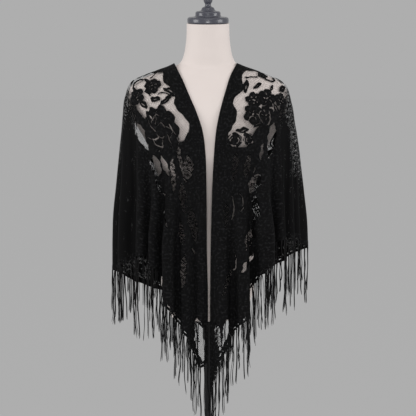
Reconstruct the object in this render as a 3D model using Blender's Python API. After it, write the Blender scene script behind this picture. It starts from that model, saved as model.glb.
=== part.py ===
"""A triangular lace shawl with a fringed hem, worn open like a cape on a limbless dress form.

The shawl is one triangle of lace. Its long edge runs down one front, behind the neck and down the
other front, and its two short edges meet in a point at the middle of the back. Its wall is worked
out from horizontal sections, each of which runs from a front edge, round the shoulder and side, to
the middle of the back. A section is an oval with the hanging folds laid along it.

Metres, +Z up. X is 0 in the middle of the form, the front faces -Y, and the base stands on Z = 0.
"""

import math

import bmesh
import bpy
import numpy as np
from mathutils import Vector

CM = 0.01
MM = 0.001

# The shawl
CLOTH_THICKNESS = 1.5 * MM
CLOTH_OFF_FORM = 1.6 * MM
SEAM_GAP = 0.7 * MM  # along a section, where the columns run aslant
SHOULDER_ROWS = (0, 0.5, 1.2, 2.2, 3.5, 5.0, 6.8, 9.2, 12.5, 17.0)  # centimetres below the top edge
HANGING_ROWS = 7  # evenly from the last shoulder row to the hem
CLOTH_SMOOTH_UNDER = 60  # degrees between two faces that are shaded as one
SECTION_STEPS = 160
MEANDER_STEPS = 80
HEM_STEPS = 600
SECTION_REACH = 0.5 * MM  # to each side of a point, for the way along its section
PLACE_REACH = 0.01  # to each side of a point, for the way across the cloth, in folds
DROP_REACH = 1 * MM  # to each side of a point, for the way down the cloth

# The dress form and its stand
SHOULDER_HEIGHT = 1.30  # of the point where the shoulder meets the neck
FORM_SIDES = 32
FORM_RING_STEPS = 720
FORM_SMOOTH_UNDER = 40
PART_GAP = 0.3 * MM  # between two solids that rest on each other
CAP_FORWARD = 1.0 * CM  # the neck leans this far over the chest
POLE_RADIUS = 8 * MM
SLEEVE_RADIUS = 13 * MM
SLEEVE_LENGTH = 60 * MM
SLEEVE_BEVEL = 2 * MM
ROUND_SIDES = 28
ROUND_SMOOTH_UNDER = 35

# Horizontal sections of the form, in centimetres: the drop below SHOULDER_HEIGHT, how far the oval
# reaches to the side, front and back, and its squareness, where 2 is a plain ellipse.
FORM_SECTIONS = (
    # drop, side, front, back, squareness
    (-9.8, 5.15, 6.15, 4.15, 2.0),
    (-7.0, 5.20, 5.90, 4.50, 2.0),
    (-4.0, 5.50, 5.60, 5.00, 2.0),
    (-2.0, 5.90, 5.50, 5.50, 2.0),
    (-0.8, 6.40, 5.40, 6.00, 1.9),
    (0.0, 7.00, 5.40, 6.50, 1.8),
    (0.7, 8.50, 5.60, 6.90, 1.8),
    (1.5, 10.70, 5.80, 7.30, 1.8),
    (2.9, 14.50, 6.30, 7.90, 1.8),
    (4.4, 17.60, 7.00, 8.40, 1.9),
    (5.9, 18.90, 7.80, 8.80, 2.0),
    (7.4, 19.30, 8.60, 9.10, 2.05),
    (9.0, 19.30, 9.40, 9.40, 2.1),
    (11.5, 18.90, 10.60, 9.70, 2.15),
    (14.5, 17.60, 11.60, 9.90, 2.2),
    (17.5, 15.80, 12.10, 9.80, 2.2),
    (21.0, 14.20, 12.20, 9.40, 2.2),
    (25.0, 13.00, 11.30, 8.70, 2.2),
    (30.0, 11.40, 9.70, 7.40, 2.1),
    (36.0, 10.10, 8.40, 6.60, 2.1),
    (42.0, 10.80, 8.70, 7.50, 2.1),
    (48.0, 11.80, 9.60, 9.20, 2.15),
    (54.0, 11.50, 9.60, 9.50, 2.15),
    (59.0, 10.20, 8.80, 8.80, 2.1),
    (62.0, 9.20, 8.20, 8.00, 2.1),
)

# The oval that the cloth hangs in, before its folds: on the form as far as the shoulder's end and
# the chest, and straight down from there.
CLOTH_SECTIONS = (
    # drop, left side, right side, front, back, squareness
    (0.0, 8.10, 7.00, 5.40, 6.50, 1.8),
    (0.7, 9.40, 8.50, 5.60, 6.90, 1.8),
    (1.5, 11.50, 10.70, 5.80, 7.30, 1.8),
    (2.9, 15.20, 14.50, 6.30, 7.90, 1.8),
    (4.4, 18.40, 17.65, 7.00, 8.40, 1.9),
    (5.9, 19.35, 19.10, 7.80, 8.80, 2.0),
    (7.4, 19.75, 19.60, 8.60, 9.10, 2.05),
    (9.0, 20.20, 20.00, 9.40, 9.40, 2.1),
    (11.5, 20.45, 20.55, 10.90, 9.75, 2.15),
    (14.5, 20.65, 20.90, 12.05, 10.05, 2.2),
    (18.0, 20.70, 21.20, 12.60, 10.20, 2.2),
    (24.0, 20.55, 21.40, 12.50, 10.10, 2.2),
    (32.0, 20.40, 21.50, 11.90, 9.90, 2.2),
    (45.0, 20.80, 22.00, 11.40, 10.10, 2.2),
    (85.0, 20.90, 22.30, 11.00, 10.40, 2.2),
)

# Where each front edge of the shawl runs, in centimetres. It starts where it crosses the shoulder.
LEFT_EDGE = (
    # drop, from the middle
    (0.0, 8.0),
    (0.8, 7.5),
    (1.7, 7.0),
    (3.6, 6.0),
    (7.6, 4.2),
    (10.8, 2.75),
    (15.0, 1.3),
    (18.0, 0.8),
    (23.0, 0.45),
    (34.0, 0.30),
    (44.0, 0.26),
    (49.0, 0.15),
    (54.0, 0.05),
    (60.0, 0.03),
    (85.0, 0.03),
)
RIGHT_EDGE = (
    # drop, from the middle
    (0.0, 6.8),
    (2.6, 5.3),
    (5.6, 4.3),
    (8.9, 3.3),
    (12.7, 2.35),
    (15.6, 1.85),
    (20.0, 1.45),
    (30.0, 0.95),
    (46.0, 0.60),
    (60.0, 0.50),
    (85.0, 0.45),
)
BACK_NECK_DROP = 3.0 * CM  # of the long edge behind the neck

# The hanging folds from a front edge to the middle of the back. Share is the fold's part of the
# section. Turn is how far the fold's sides turn away from the section, in radians, once it is full.
# Starts and full are drops in centimetres. Lean is how far the fold lies over, as a part of its
# depth, and is positive towards the back. Hem is the drop of the hem where the fold begins, and half
# way is its drop in the fold's middle.
LEFT_FOLDS = (
    # share, turn, starts, full, lean, hem, half way, faces
    (0.066, 0.60, 26.0, 56.0, 0.00, 71.2, 72.6, 2),
    (0.064, 1.35, 20.0, 50.0, 0.15, 69.4, 64.4, 6),
    (0.070, 1.60, 14.0, 44.0, 0.32, 62.2, 57.6, 8),
    (0.068, 1.50, 12.0, 42.0, 0.28, 51.6, 48.0, 8),
    (0.085, 1.20, 9.0, 38.0, -0.05, 45.4, 45.6, 4),
    (0.122, 1.00, 8.0, 38.0, -0.05, 46.4, 48.4, 4),
    (0.140, 1.05, 9.0, 40.0, 0.00, 49.8, 51.2, 4),
    (0.105, 0.95, 12.0, 42.0, 0.00, 54.0, 55.2, 4),
    (0.110, 1.40, 10.0, 44.0, -0.15, 56.4, 57.6, 6),
    (0.098, 1.55, 12.0, 46.0, -0.15, 59.0, 61.3, 6),
    (0.072, 1.10, 16.0, 50.0, 0.00, 64.2, 67.1, 4),
)
RIGHT_FOLDS = (
    # share, turn, starts, full, lean, hem, half way, faces
    (0.097, 1.10, 28.0, 58.0, 0.20, 79.4, 69.4, 8),
    (0.073, 1.60, 18.0, 50.0, 0.30, 64.4, 60.8, 8),
    (0.110, 1.50, 11.0, 42.0, 0.30, 54.2, 47.8, 8),
    (0.075, 1.25, 9.0, 40.0, 0.05, 43.4, 41.7, 6),
    (0.060, 1.00, 8.0, 38.0, 0.00, 41.5, 41.6, 4),
    (0.055, 0.90, 8.0, 38.0, 0.00, 41.9, 42.4, 4),
    (0.138, 1.00, 9.0, 40.0, 0.00, 43.4, 45.6, 4),
    (0.108, 1.05, 12.0, 42.0, 0.00, 48.0, 50.0, 4),
    (0.112, 1.40, 10.0, 44.0, -0.15, 52.0, 54.0, 6),
    (0.094, 1.55, 12.0, 46.0, -0.15, 56.4, 59.8, 6),
    (0.078, 1.05, 16.0, 50.0, 0.00, 63.6, 66.8, 4),
)
BACK_POINT_DROP = 70.0  # of the hem at the middle of the back, in centimetres
SEAM_FOLD = 6  # the front stretch ends and the back one begins where this many folds have passed

# The fringe
FRINGE_LENGTH = 140 * MM
FRONT_STRANDS = 42
BACK_STRANDS = 38
STRIP_HEIGHT = 6 * MM
STRIP_GAP = 1.6 * MM
MOST_BOW = 0.5 * MM  # of the hem between two frames of the strip
STRAND_WIDTH = 3.2 * MM
STRAND_TAPER = 0.55
STRAND_RINGS = (0.5, 1.0)  # below a strand's root, as parts of its length
STRAND_SWAY = 3 * MM
STRAND_PARTS = (0.94, 1.04)  # the shortest and longest strand, as parts of the fringe's length
SWAY_SEED = 7
CORNERS = 4  # of a strand, and of a frame of the strip

# The turned neck cap, from its rim up: height above the neck and radius, in centimetres
CAP_PROFILE = (
    # height, radius
    (0.0, 4.75),
    (0.25, 5.0),
    (1.15, 5.0),
    (1.5, 4.7),
    (1.65, 3.3),
    (1.9, 3.05),
    (2.6, 3.05),
    (2.9, 2.8),
    (3.05, 1.9),
    (3.3, 1.6),
    (3.8, 1.45),
    (4.1, 0.75),
    (4.7, 0.70),
    (5.1, 1.0),
    (5.8, 1.15),
    (6.5, 1.0),
    (7.1, 0.72),
    (7.9, 0.85),
    (8.5, 0.6),
    (8.8, 0.0),
)

# The turned base, from its rim up to the top of the pole's hub, in millimetres
BASE_PROFILE = (
    # height, radius
    (0, 178),
    (2, 180),
    (6, 180),
    (9, 174),
    (13, 48),
    (18, 24),
    (34, 24),
    (36, 22),
)

COLOURS = {
    # name: colour, roughness, metallic
    "black_lace": ((0.012, 0.012, 0.013), 0.75, 0.0),
    "fringe_yarn": ((0.010, 0.010, 0.011), 0.60, 0.0),
    "cream_jersey": ((0.76, 0.70, 0.65), 0.85, 0.0),
    "black_wood": ((0.022, 0.022, 0.030), 0.35, 0.0),
    "black_metal": ((0.030, 0.030, 0.032), 0.45, 1.0),
}


# ---------------------------------------------------------------- tables and curves


class Smooth:
    """A smooth curve through a table's rows, against its first column, which never overshoots."""

    def __init__(self, rows):
        data = np.array(rows, float)
        self.at = data[:, 0]
        self.values = data[:, 1:]
        steps = np.diff(self.at)[:, None]
        slopes = np.diff(self.values, axis=0) / steps
        self.slopes = np.zeros_like(self.values)
        self.slopes[0] = slopes[0]
        self.slopes[-1] = slopes[-1]
        before, after = slopes[:-1], slopes[1:]
        same_way = before * after > 0
        safe_sum = np.where(same_way, before + after, 1.0)
        self.slopes[1:-1] = np.where(same_way, 2 * before * after / safe_sum, 0.0)

    def __call__(self, where):
        where = min(max(where, self.at[0]), self.at[-1])
        row = int(np.clip(np.searchsorted(self.at, where) - 1, 0, len(self.at) - 2))
        step = self.at[row + 1] - self.at[row]
        t = (where - self.at[row]) / step
        start, end = self.values[row], self.values[row + 1]
        leave, arrive = self.slopes[row] * step, self.slopes[row + 1] * step
        return (
            start * (1 + 2 * t) * (1 - t) ** 2
            + leave * t * (1 - t) ** 2
            + end * t * t * (3 - 2 * t)
            + arrive * t * t * (t - 1)
        )


def ease(t):
    """A smooth rise from 0 to 1."""
    t = min(max(t, 0.0), 1.0)
    return t * t * (3 - 2 * t)


def oval(angles, side, front, back, squareness):
    """Points of a horizontal oval. Angle 0 is the middle of its front, and pi that of its back."""
    power = 2 / squareness
    sines, cosines = np.sin(angles), np.cos(angles)
    depth = np.where(cosines > 0, front, back)
    x = side * np.sign(sines) * np.abs(sines) ** power
    y = -depth * np.sign(cosines) * np.abs(cosines) ** power
    return np.stack([x, y], axis=1)


def lengths_along(points):
    return np.concatenate([[0], np.cumsum(np.linalg.norm(np.diff(points, axis=0), axis=1))])


def meander(turn, part):
    """Where a fold's cloth lies, after this part of its length: along the section and out from it,
    both as a part of the fold's width. The cloth turns smoothly out, over and back."""
    at = np.linspace(0, 1, MEANDER_STEPS + 1)
    way = turn * np.sin(2 * np.pi * at)
    along = np.concatenate([[0], np.cumsum((np.cos(way[1:]) + np.cos(way[:-1])) / 2)])
    out = np.concatenate([[0], np.cumsum((np.sin(way[1:]) + np.sin(way[:-1])) / 2)])
    width = along[-1]
    return np.interp(part, at, along) / width, np.interp(part, at, out) / width


# ---------------------------------------------------------------- the shawl's surface


class Half:
    """The left or right half of the shawl, from its front edge to the middle of the back."""

    def __init__(self, way, side_column, edge, folds):
        self.way = way  # -1 on the left and 1 on the right
        self.side_column = side_column
        self.edge = Smooth(edge)
        self.edge_top = edge[0][0] * CM
        self.folds = folds
        self.starts = np.concatenate([[0], np.cumsum([fold[0] for fold in folds])])
        self.starts /= self.starts[-1]
        hems = [drop for fold in folds for drop in fold[5:7]] + [BACK_POINT_DROP]
        self.hem = Smooth([(number / 2, drop * CM) for number, drop in enumerate(hems)])

    def top_drop(self, fold):
        return self.edge_top + (BACK_NECK_DROP - self.edge_top) * ease(fold / len(self.folds))

    def hem_drop(self, fold):
        return float(self.hem(fold)[0])

    def section(self, drop):
        """The oval at this drop, from the front edge to the middle of the back."""
        sizes = OVALS(drop / CM)
        side, front, back, squareness = (sizes[self.side_column], *sizes[2:])
        from_middle = min(self.edge(drop / CM)[0] / side, 1.0)
        first_angle = math.asin(from_middle ** (squareness / 2))
        angles = np.linspace(first_angle, math.pi, SECTION_STEPS)
        return oval(angles, side * CM, front * CM, back * CM, squareness)

    def point(self, drop, fold):
        """A point of the cloth at this drop. Fold counts the folds from the front edge."""
        points = self.section(drop)
        length = lengths_along(points)
        number = min(int(fold), len(self.folds) - 1)
        turn, starts, full, lean = self.folds[number][1:5]
        turn *= ease((drop / CM - starts) / (full - starts))
        along, out = meander(turn, fold - number)
        width = (self.starts[number + 1] - self.starts[number]) * length[-1]
        at = self.starts[number] * length[-1] + width * (along + lean * out)
        here = np.array([np.interp(at, length, points[:, axis]) for axis in (0, 1)])
        ahead, behind = min(at + SECTION_REACH, length[-1]), max(at - SECTION_REACH, 0)
        line = np.array(
            [
                np.interp(ahead, length, points[:, axis]) - np.interp(behind, length, points[:, axis])
                for axis in (0, 1)
            ]
        )
        line /= np.linalg.norm(line)
        here = here + width * out * np.array([line[1], -line[0]])
        return np.array([self.way * here[0], here[1], SHOULDER_HEIGHT - drop])


OVALS = Smooth(CLOTH_SECTIONS)
LEFT = Half(-1, 0, LEFT_EDGE, LEFT_FOLDS)
RIGHT = Half(1, 1, RIGHT_EDGE, RIGHT_FOLDS)


def cloth(drop, place):
    """A point of the whole shawl. Place counts folds from the middle of the back: less than 0 on
    the left and more than 0 on the right."""
    half = LEFT if place < 0 else RIGHT
    return half.point(drop, len(half.folds) - abs(place))


def outward(drop, place):
    """The direction out of the cloth at a point."""
    most = len(LEFT.folds)
    ahead, behind = min(place + PLACE_REACH, most), max(place - PLACE_REACH, -most)
    across = cloth(drop, ahead) - cloth(drop, behind)
    down = cloth(drop + DROP_REACH, place) - cloth(max(drop - DROP_REACH, 0), place)
    normal = np.cross(across, down)
    return normal / np.linalg.norm(normal)


def sewn_place(half, fold):
    return half.way * (len(half.folds) - fold)


def places(half, first, last):
    """The places of a half's columns between two folds, in the order of the folds."""
    found = []
    for number, row in enumerate(half.folds):
        faces = row[-1]
        found += [number + step / faces for step in range(faces)]
    found.append(len(half.folds))
    return [sewn_place(half, fold) for fold in found if first <= fold <= last]


# ---------------------------------------------------------------- making objects


def material(name):
    colour, roughness, metallic = COLOURS[name]
    made = bpy.data.materials.get(name) or bpy.data.materials.new(name)
    made.use_nodes = True
    shader = made.node_tree.nodes["Principled BSDF"]
    shader.inputs["Base Color"].default_value = (*colour, 1)
    shader.inputs["Roughness"].default_value = roughness
    shader.inputs["Metallic"].default_value = metallic
    return made


def add_object(name, points, faces, colour, smooth_under):
    mesh = bpy.data.meshes.new(name)
    mesh.from_pydata([tuple(point) for point in points], [], faces)
    mesh.materials.append(material(colour))
    mesh.shade_smooth()
    mesh.set_sharp_from_angle(angle=math.radians(smooth_under))
    made = bpy.data.objects.new(name, mesh)
    bpy.context.scene.collection.objects.link(made)
    return made


def turned(name, profile, colour, centre=(0, 0, 0)):
    """A solid of revolution from (height, radius) rows, whose first and last rows close it."""
    made = bmesh.new()
    rings = []
    for height, radius in profile:
        if radius == 0:
            rings.append([made.verts.new((0, 0, height))])
            continue
        turns = [2 * math.pi * side / ROUND_SIDES for side in range(ROUND_SIDES)]
        rings.append(
            [made.verts.new((radius * math.cos(t), radius * math.sin(t), height)) for t in turns]
        )
    for low, high in zip(rings, rings[1:]):
        for side in range(ROUND_SIDES):
            after = (side + 1) % ROUND_SIDES
            if len(high) == 1:
                made.faces.new((low[side], low[after], high[0]))
            else:
                made.faces.new((low[side], low[after], high[after], high[side]))
    made.faces.new(reversed(rings[0]))
    if len(rings[-1]) > 1:
        made.faces.new(rings[-1])
    mesh = bpy.data.meshes.new(name)
    made.to_mesh(mesh)
    made.free()
    mesh.materials.append(material(colour))
    mesh.shade_smooth()
    mesh.set_sharp_from_angle(angle=math.radians(ROUND_SMOOTH_UNDER))
    piece = bpy.data.objects.new(name, mesh)
    piece.location = Vector(centre)
    bpy.context.scene.collection.objects.link(piece)
    return piece


# ---------------------------------------------------------------- the dress form and its stand


def dress_form():
    angles = np.linspace(0, 2 * np.pi, FORM_RING_STEPS + 1)
    points = []
    for drop, side, front, back, squareness in FORM_SECTIONS:
        ring = oval(angles, side * CM, front * CM, back * CM, squareness)
        length = lengths_along(ring)
        spaced = np.linspace(0, length[-1], FORM_SIDES, endpoint=False)
        x = np.interp(spaced, length, ring[:, 0])
        y = np.interp(spaced, length, ring[:, 1])
        points += [(x[i], y[i], SHOULDER_HEIGHT - drop * CM) for i in range(FORM_SIDES)]
    faces = []
    for row in range(len(FORM_SECTIONS) - 1):
        for side in range(FORM_SIDES):
            after = (side + 1) % FORM_SIDES
            above, below = row * FORM_SIDES, (row + 1) * FORM_SIDES
            faces.append((above + side, below + side, below + after, above + after))
    last = (len(FORM_SECTIONS) - 1) * FORM_SIDES
    faces.append(tuple(range(FORM_SIDES)))
    faces.append(tuple(last + side for side in reversed(range(FORM_SIDES))))
    add_object("dress_form", points, faces, "cream_jersey", FORM_SMOOTH_UNDER)


def neck_cap():
    neck_top = SHOULDER_HEIGHT - FORM_SECTIONS[0][0] * CM
    profile = [(height * CM, radius * CM) for height, radius in CAP_PROFILE]
    turned("neck_cap", profile, "black_wood", (0, -CAP_FORWARD, neck_top + PART_GAP))


def stand():
    form_bottom = SHOULDER_HEIGHT - FORM_SECTIONS[-1][0] * CM
    sleeve_top = form_bottom - PART_GAP
    sleeve_bottom = sleeve_top - SLEEVE_LENGTH
    sleeve = [
        (sleeve_bottom, SLEEVE_RADIUS - SLEEVE_BEVEL),
        (sleeve_bottom + SLEEVE_BEVEL, SLEEVE_RADIUS),
        (sleeve_top, SLEEVE_RADIUS),
    ]
    turned("stand_sleeve", sleeve, "black_metal")
    base = [(height * MM, radius * MM) for height, radius in BASE_PROFILE]
    turned("stand_base", base, "black_metal")
    hub_top = base[-1][0]
    pole = [(hub_top + PART_GAP, POLE_RADIUS), (sleeve_bottom - PART_GAP, POLE_RADIUS)]
    turned("stand_pole", pole, "black_metal")


# ---------------------------------------------------------------- the shawl's solids


def triangles_of_cell(a, b, c, d, middles):
    """Two triangles for the cell a, b, c, d, cut across its shorter way."""
    if np.linalg.norm(middles[a] - middles[c]) <= np.linalg.norm(middles[b] - middles[d]):
        return [(a, b, c), (a, c, d)]
    return [(a, b, d), (b, c, d)]


def row_drops(top, hem):
    """The drops of a column's points, from the top edge to the hem."""
    shoulder = [top + drop * CM for drop in SHOULDER_ROWS]
    step = (hem - shoulder[-1]) / HANGING_ROWS
    return shoulder + [shoulder[-1] + step * (row + 1) for row in range(HANGING_ROWS)]


def wall(name, columns, seams):
    """A stretch of the shawl's wall over these places. Seams gives, for its first and last column,
    the way to move it, so that it stands SEAM_GAP from its neighbour."""
    rows = len(SHOULDER_ROWS) + HANGING_ROWS
    middles, outs = [], []
    for number, place in enumerate(columns):
        half = LEFT if place < 0 else RIGHT
        fold = len(half.folds) - abs(place)
        top, hem = half.top_drop(fold), half.hem_drop(fold)
        for drop in row_drops(top, hem):
            point = cloth(drop, place)
            way = {0: seams[0], len(columns) - 1: seams[1]}.get(number, 0)
            if way:
                across = cloth(drop, place + PLACE_REACH) - cloth(drop, place - PLACE_REACH)
                point = point + across / np.linalg.norm(across) * way * SEAM_GAP / 2
            middles.append(point)
            outs.append(outward(drop, place))
    middles, outs = np.array(middles), np.array(outs)
    inner = middles + outs * CLOTH_OFF_FORM
    outer = middles + outs * (CLOTH_OFF_FORM + CLOTH_THICKNESS)
    count = len(middles)
    faces = []
    for column in range(len(columns) - 1):
        for row in range(rows - 1):
            a = column * rows + row
            cell = (a, a + rows, a + 1 + rows, a + 1)
            for triangle in triangles_of_cell(*cell, middles):
                faces.append(triangle)
                faces.append(tuple(count + corner for corner in reversed(triangle)))
    last = (len(columns) - 1) * rows
    rim = [column * rows for column in range(len(columns))]
    rim += [last + row for row in range(1, rows)]
    rim += [column * rows + rows - 1 for column in reversed(range(len(columns) - 1))]
    rim += [row for row in reversed(range(1, rows - 1))]
    for one, after in zip(rim, rim[1:] + rim[:1]):
        faces.append((after, one, count + one, count + after))
    add_object(name, np.concatenate([outer, inner]), faces, "black_lace", CLOTH_SMOOTH_UNDER)


def hem_line(half, first, last):
    """Points along a stretch of hem, finely spaced: the fold of each, how far along the hem it
    lies, how much of the hem's way there is level, where 1 is all of it, and where it is."""
    folds = np.linspace(first, last, HEM_STEPS)
    points = np.array([half.point(half.hem_drop(fold), fold) for fold in folds])
    ways = np.gradient(points, axis=0)
    level = np.hypot(ways[:, 0], ways[:, 1]) / np.linalg.norm(ways, axis=1)
    return folds, lengths_along(points), level, points


def fringe(name, half, first, last, strands, sways):
    """A strip just under the hem, with strands that hang from its lower side. The strip has a frame
    at each strand's two sides, and the strand is drawn down from the face between them."""
    folds, length, level, hem_points = hem_line(half, first, last)

    def bow(start, end):
        """How far the hem bows away from the straight line between two cuts."""
        ends_and_middle = (start, end, (start + end) / 2)
        one, other, middle = (
            np.array([np.interp(at, length, hem_points[:, axis]) for axis in range(3)])
            for at in ends_and_middle
        )
        return np.linalg.norm(middle - (one + other) / 2)

    margin = STRAND_WIDTH
    pitch = (length[-1] - 2 * margin) / strands
    cuts, roots = [0.5 * STRAND_WIDTH], {}
    for strand in range(strands):
        middle = margin + pitch * (strand + 0.5)
        start = middle - STRAND_WIDTH / 2
        if bow(cuts[-1], start) > MOST_BOW:
            cuts.append((cuts[-1] + start) / 2)
        roots[len(cuts)] = strand
        cuts += [start, start + STRAND_WIDTH]
    cuts.append(length[-1] - 0.5 * STRAND_WIDTH)
    points, faces = [], []
    for cut in cuts:
        fold = float(np.interp(cut, length, folds))
        place = sewn_place(half, fold)
        top = half.hem_drop(fold) + STRIP_GAP / float(np.interp(cut, length, level))
        normal = outward(top, place)
        for drop in (top, top + STRIP_HEIGHT):
            middle = cloth(drop, place)
            for off in (CLOTH_OFF_FORM + CLOTH_THICKNESS, CLOTH_OFF_FORM):
                points.append(middle + normal * off)
    # A frame's corners are 0 outer top, 1 inner top, 2 outer bottom and 3 inner bottom.
    faces.append((0, 1, 3, 2))
    end = CORNERS * (len(cuts) - 1)
    faces.append((end + 2, end + 3, end + 1, end))
    for frame in range(len(cuts) - 1):
        here, after = CORNERS * frame, CORNERS * (frame + 1)
        faces.append((here, here + 2, after + 2, after))
        faces.append((here + 1, after + 1, after + 3, here + 3))
        faces.append((here, after, after + 1, here + 1))
        root = (here + 2, here + 3, after + 3, after + 2)
        if frame in roots:
            faces += strand_faces(points, root, sways[roots[frame]])
        else:
            faces.append(root)
    if half.way < 0:
        faces = [tuple(reversed(face)) for face in faces]
    add_object(name, points, faces, "fringe_yarn", CLOTH_SMOOTH_UNDER)


def strand_faces(points, root, sway):
    """Draws a strand down from the four root corners, adds its points and gives its faces."""
    corners = np.array([points[corner] for corner in root])
    centre = corners.mean(axis=0)
    flat = corners - centre
    flat[:, 2] = 0
    rings = [root]
    for part in STRAND_RINGS:
        drift = np.array([sway[0] * part**2, sway[1] * part**2, -FRINGE_LENGTH * sway[2] * part])
        size = 1 - (1 - STRAND_TAPER) * part
        first = len(points)
        points.extend(centre + drift + flat * size)
        rings.append(tuple(first + side for side in range(CORNERS)))
    faces = []
    for high, low in zip(rings, rings[1:]):
        for side in range(CORNERS):
            after = (side + 1) % CORNERS
            faces.append((high[side], high[after], low[after], low[side]))
    faces.append(rings[-1])
    return faces


def random_sways(count, generator):
    """How far each strand's end drifts along X and Y, and its length as a part of the fringe's."""
    drifts = generator.uniform(-STRAND_SWAY, STRAND_SWAY, (count, 2))
    parts = generator.uniform(*STRAND_PARTS, (count, 1))
    return np.concatenate([drifts, parts], axis=1)


def shawl():
    seam = SEAM_FOLD
    folds = len(LEFT.folds)
    left_front = places(LEFT, 0, seam)
    left_back = places(LEFT, seam, folds)
    right_front = places(RIGHT, 0, seam)
    right_back = places(RIGHT, seam, folds)
    wall("shawl_left_front", left_front, (0, -1))
    wall("shawl_back", left_back + right_back[-2::-1], (1, -1))
    wall("shawl_right_front", right_front[::-1], (1, 0))
    generator = np.random.default_rng(SWAY_SEED)
    for name, half, first, last, count in (
        ("fringe_left_front", LEFT, 0, seam, FRONT_STRANDS),
        ("fringe_left_back", LEFT, seam, folds, BACK_STRANDS),
        ("fringe_right_front", RIGHT, 0, seam, FRONT_STRANDS),
        ("fringe_right_back", RIGHT, seam, folds, BACK_STRANDS),
    ):
        fringe(name, half, first, last, count, random_sways(count, generator))


def main():
    for thing in list(bpy.data.objects):
        bpy.data.objects.remove(thing)
    dress_form()
    neck_cap()
    stand()
    shawl()


main()
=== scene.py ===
"""A black lace shawl with a long knotted fringe, worn open on a limbless dress form.

The cloth is worked out from the same sections and folds as its solids. A pattern of borders,
flowers and leaves is drawn on it in real sizes. Where the pattern is solid, a lace shell is cut to
its outline, and a sheet of net runs under the whole of it. The fringe is made thread by thread.

Metres, +Z up. The front faces -Y.
"""

import math
from functools import reduce

import bpy
import numpy as np
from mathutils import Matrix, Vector


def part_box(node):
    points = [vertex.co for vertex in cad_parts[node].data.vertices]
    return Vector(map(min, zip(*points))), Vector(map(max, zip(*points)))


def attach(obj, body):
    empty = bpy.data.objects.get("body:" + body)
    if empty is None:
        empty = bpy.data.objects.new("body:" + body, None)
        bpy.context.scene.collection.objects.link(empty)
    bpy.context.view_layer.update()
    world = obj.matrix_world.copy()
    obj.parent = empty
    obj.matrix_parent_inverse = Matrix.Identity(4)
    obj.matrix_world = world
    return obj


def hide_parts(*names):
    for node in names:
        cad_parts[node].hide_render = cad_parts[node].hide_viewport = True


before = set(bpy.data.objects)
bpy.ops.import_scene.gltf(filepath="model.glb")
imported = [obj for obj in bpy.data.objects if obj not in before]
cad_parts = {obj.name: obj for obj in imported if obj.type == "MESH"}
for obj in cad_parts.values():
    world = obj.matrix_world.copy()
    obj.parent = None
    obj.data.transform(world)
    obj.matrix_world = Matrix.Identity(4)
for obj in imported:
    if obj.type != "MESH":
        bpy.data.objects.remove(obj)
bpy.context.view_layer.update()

CM = 0.01
MM = 0.001

# The shawl's cut and make
CLOTH_MIDDLE = 2.35 * MM  # of the solid wall, from the surface that it is worked out on
LACE_THICKNESS = 0.7 * MM
LACE_SHARP = math.radians(60)  # the angle from which its edges are shaded as sharp ones
SHORTEST_CUT = 0.04  # of a grid step, where the outline crosses it
CORD_RISE = 0.30 * MM  # the outline of the solid lace stands proud by this
CORD_IN = 1.3 * MM  # and is this far inside its edge
SHOULDER_HEIGHT = 1.30
BACK_NECK_DROP = 3.0 * CM
BACK_POINT_DROP = 70.0  # of the hem at the middle of the back, in centimetres
SEAM_FOLD = 6  # the front stretch ends and the back one begins where this many folds have passed

# Horizontal sections of the dress form, in centimetres
FORM_SECTIONS = (
    # drop, side, front, back, squareness
    (-9.8, 5.15, 6.15, 4.15, 2.0),
    (-7.0, 5.20, 5.90, 4.50, 2.0),
    (-4.0, 5.50, 5.60, 5.00, 2.0),
    (-2.0, 5.90, 5.50, 5.50, 2.0),
    (-0.8, 6.40, 5.40, 6.00, 1.9),
    (0.0, 7.00, 5.40, 6.50, 1.8),
    (0.7, 8.50, 5.60, 6.90, 1.8),
    (1.5, 10.70, 5.80, 7.30, 1.8),
    (2.9, 14.50, 6.30, 7.90, 1.8),
    (4.4, 17.60, 7.00, 8.40, 1.9),
    (5.9, 18.90, 7.80, 8.80, 2.0),
    (7.4, 19.30, 8.60, 9.10, 2.05),
    (9.0, 19.30, 9.40, 9.40, 2.1),
    (11.5, 18.90, 10.60, 9.70, 2.15),
    (14.5, 17.60, 11.60, 9.90, 2.2),
    (17.5, 15.80, 12.10, 9.80, 2.2),
    (21.0, 14.20, 12.20, 9.40, 2.2),
    (25.0, 13.00, 11.30, 8.70, 2.2),
    (30.0, 11.40, 9.70, 7.40, 2.1),
    (36.0, 10.10, 8.40, 6.60, 2.1),
    (42.0, 10.80, 8.70, 7.50, 2.1),
    (48.0, 11.80, 9.60, 9.20, 2.15),
    (54.0, 11.50, 9.60, 9.50, 2.15),
    (59.0, 10.20, 8.80, 8.80, 2.1),
    (62.0, 9.20, 8.20, 8.00, 2.1),
)

# The oval that the cloth hangs in, before its folds
CLOTH_SECTIONS = (
    # drop, left side, right side, front, back, squareness
    (0.0, 8.10, 7.00, 5.40, 6.50, 1.8),
    (0.7, 9.40, 8.50, 5.60, 6.90, 1.8),
    (1.5, 11.50, 10.70, 5.80, 7.30, 1.8),
    (2.9, 15.20, 14.50, 6.30, 7.90, 1.8),
    (4.4, 18.40, 17.65, 7.00, 8.40, 1.9),
    (5.9, 19.35, 19.10, 7.80, 8.80, 2.0),
    (7.4, 19.75, 19.60, 8.60, 9.10, 2.05),
    (9.0, 20.20, 20.00, 9.40, 9.40, 2.1),
    (11.5, 20.45, 20.55, 10.90, 9.75, 2.15),
    (14.5, 20.65, 20.90, 12.05, 10.05, 2.2),
    (18.0, 20.70, 21.20, 12.60, 10.20, 2.2),
    (24.0, 20.55, 21.40, 12.50, 10.10, 2.2),
    (32.0, 20.40, 21.50, 11.90, 9.90, 2.2),
    (45.0, 20.80, 22.00, 11.40, 10.10, 2.2),
    (85.0, 20.90, 22.30, 11.00, 10.40, 2.2),
)

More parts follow.
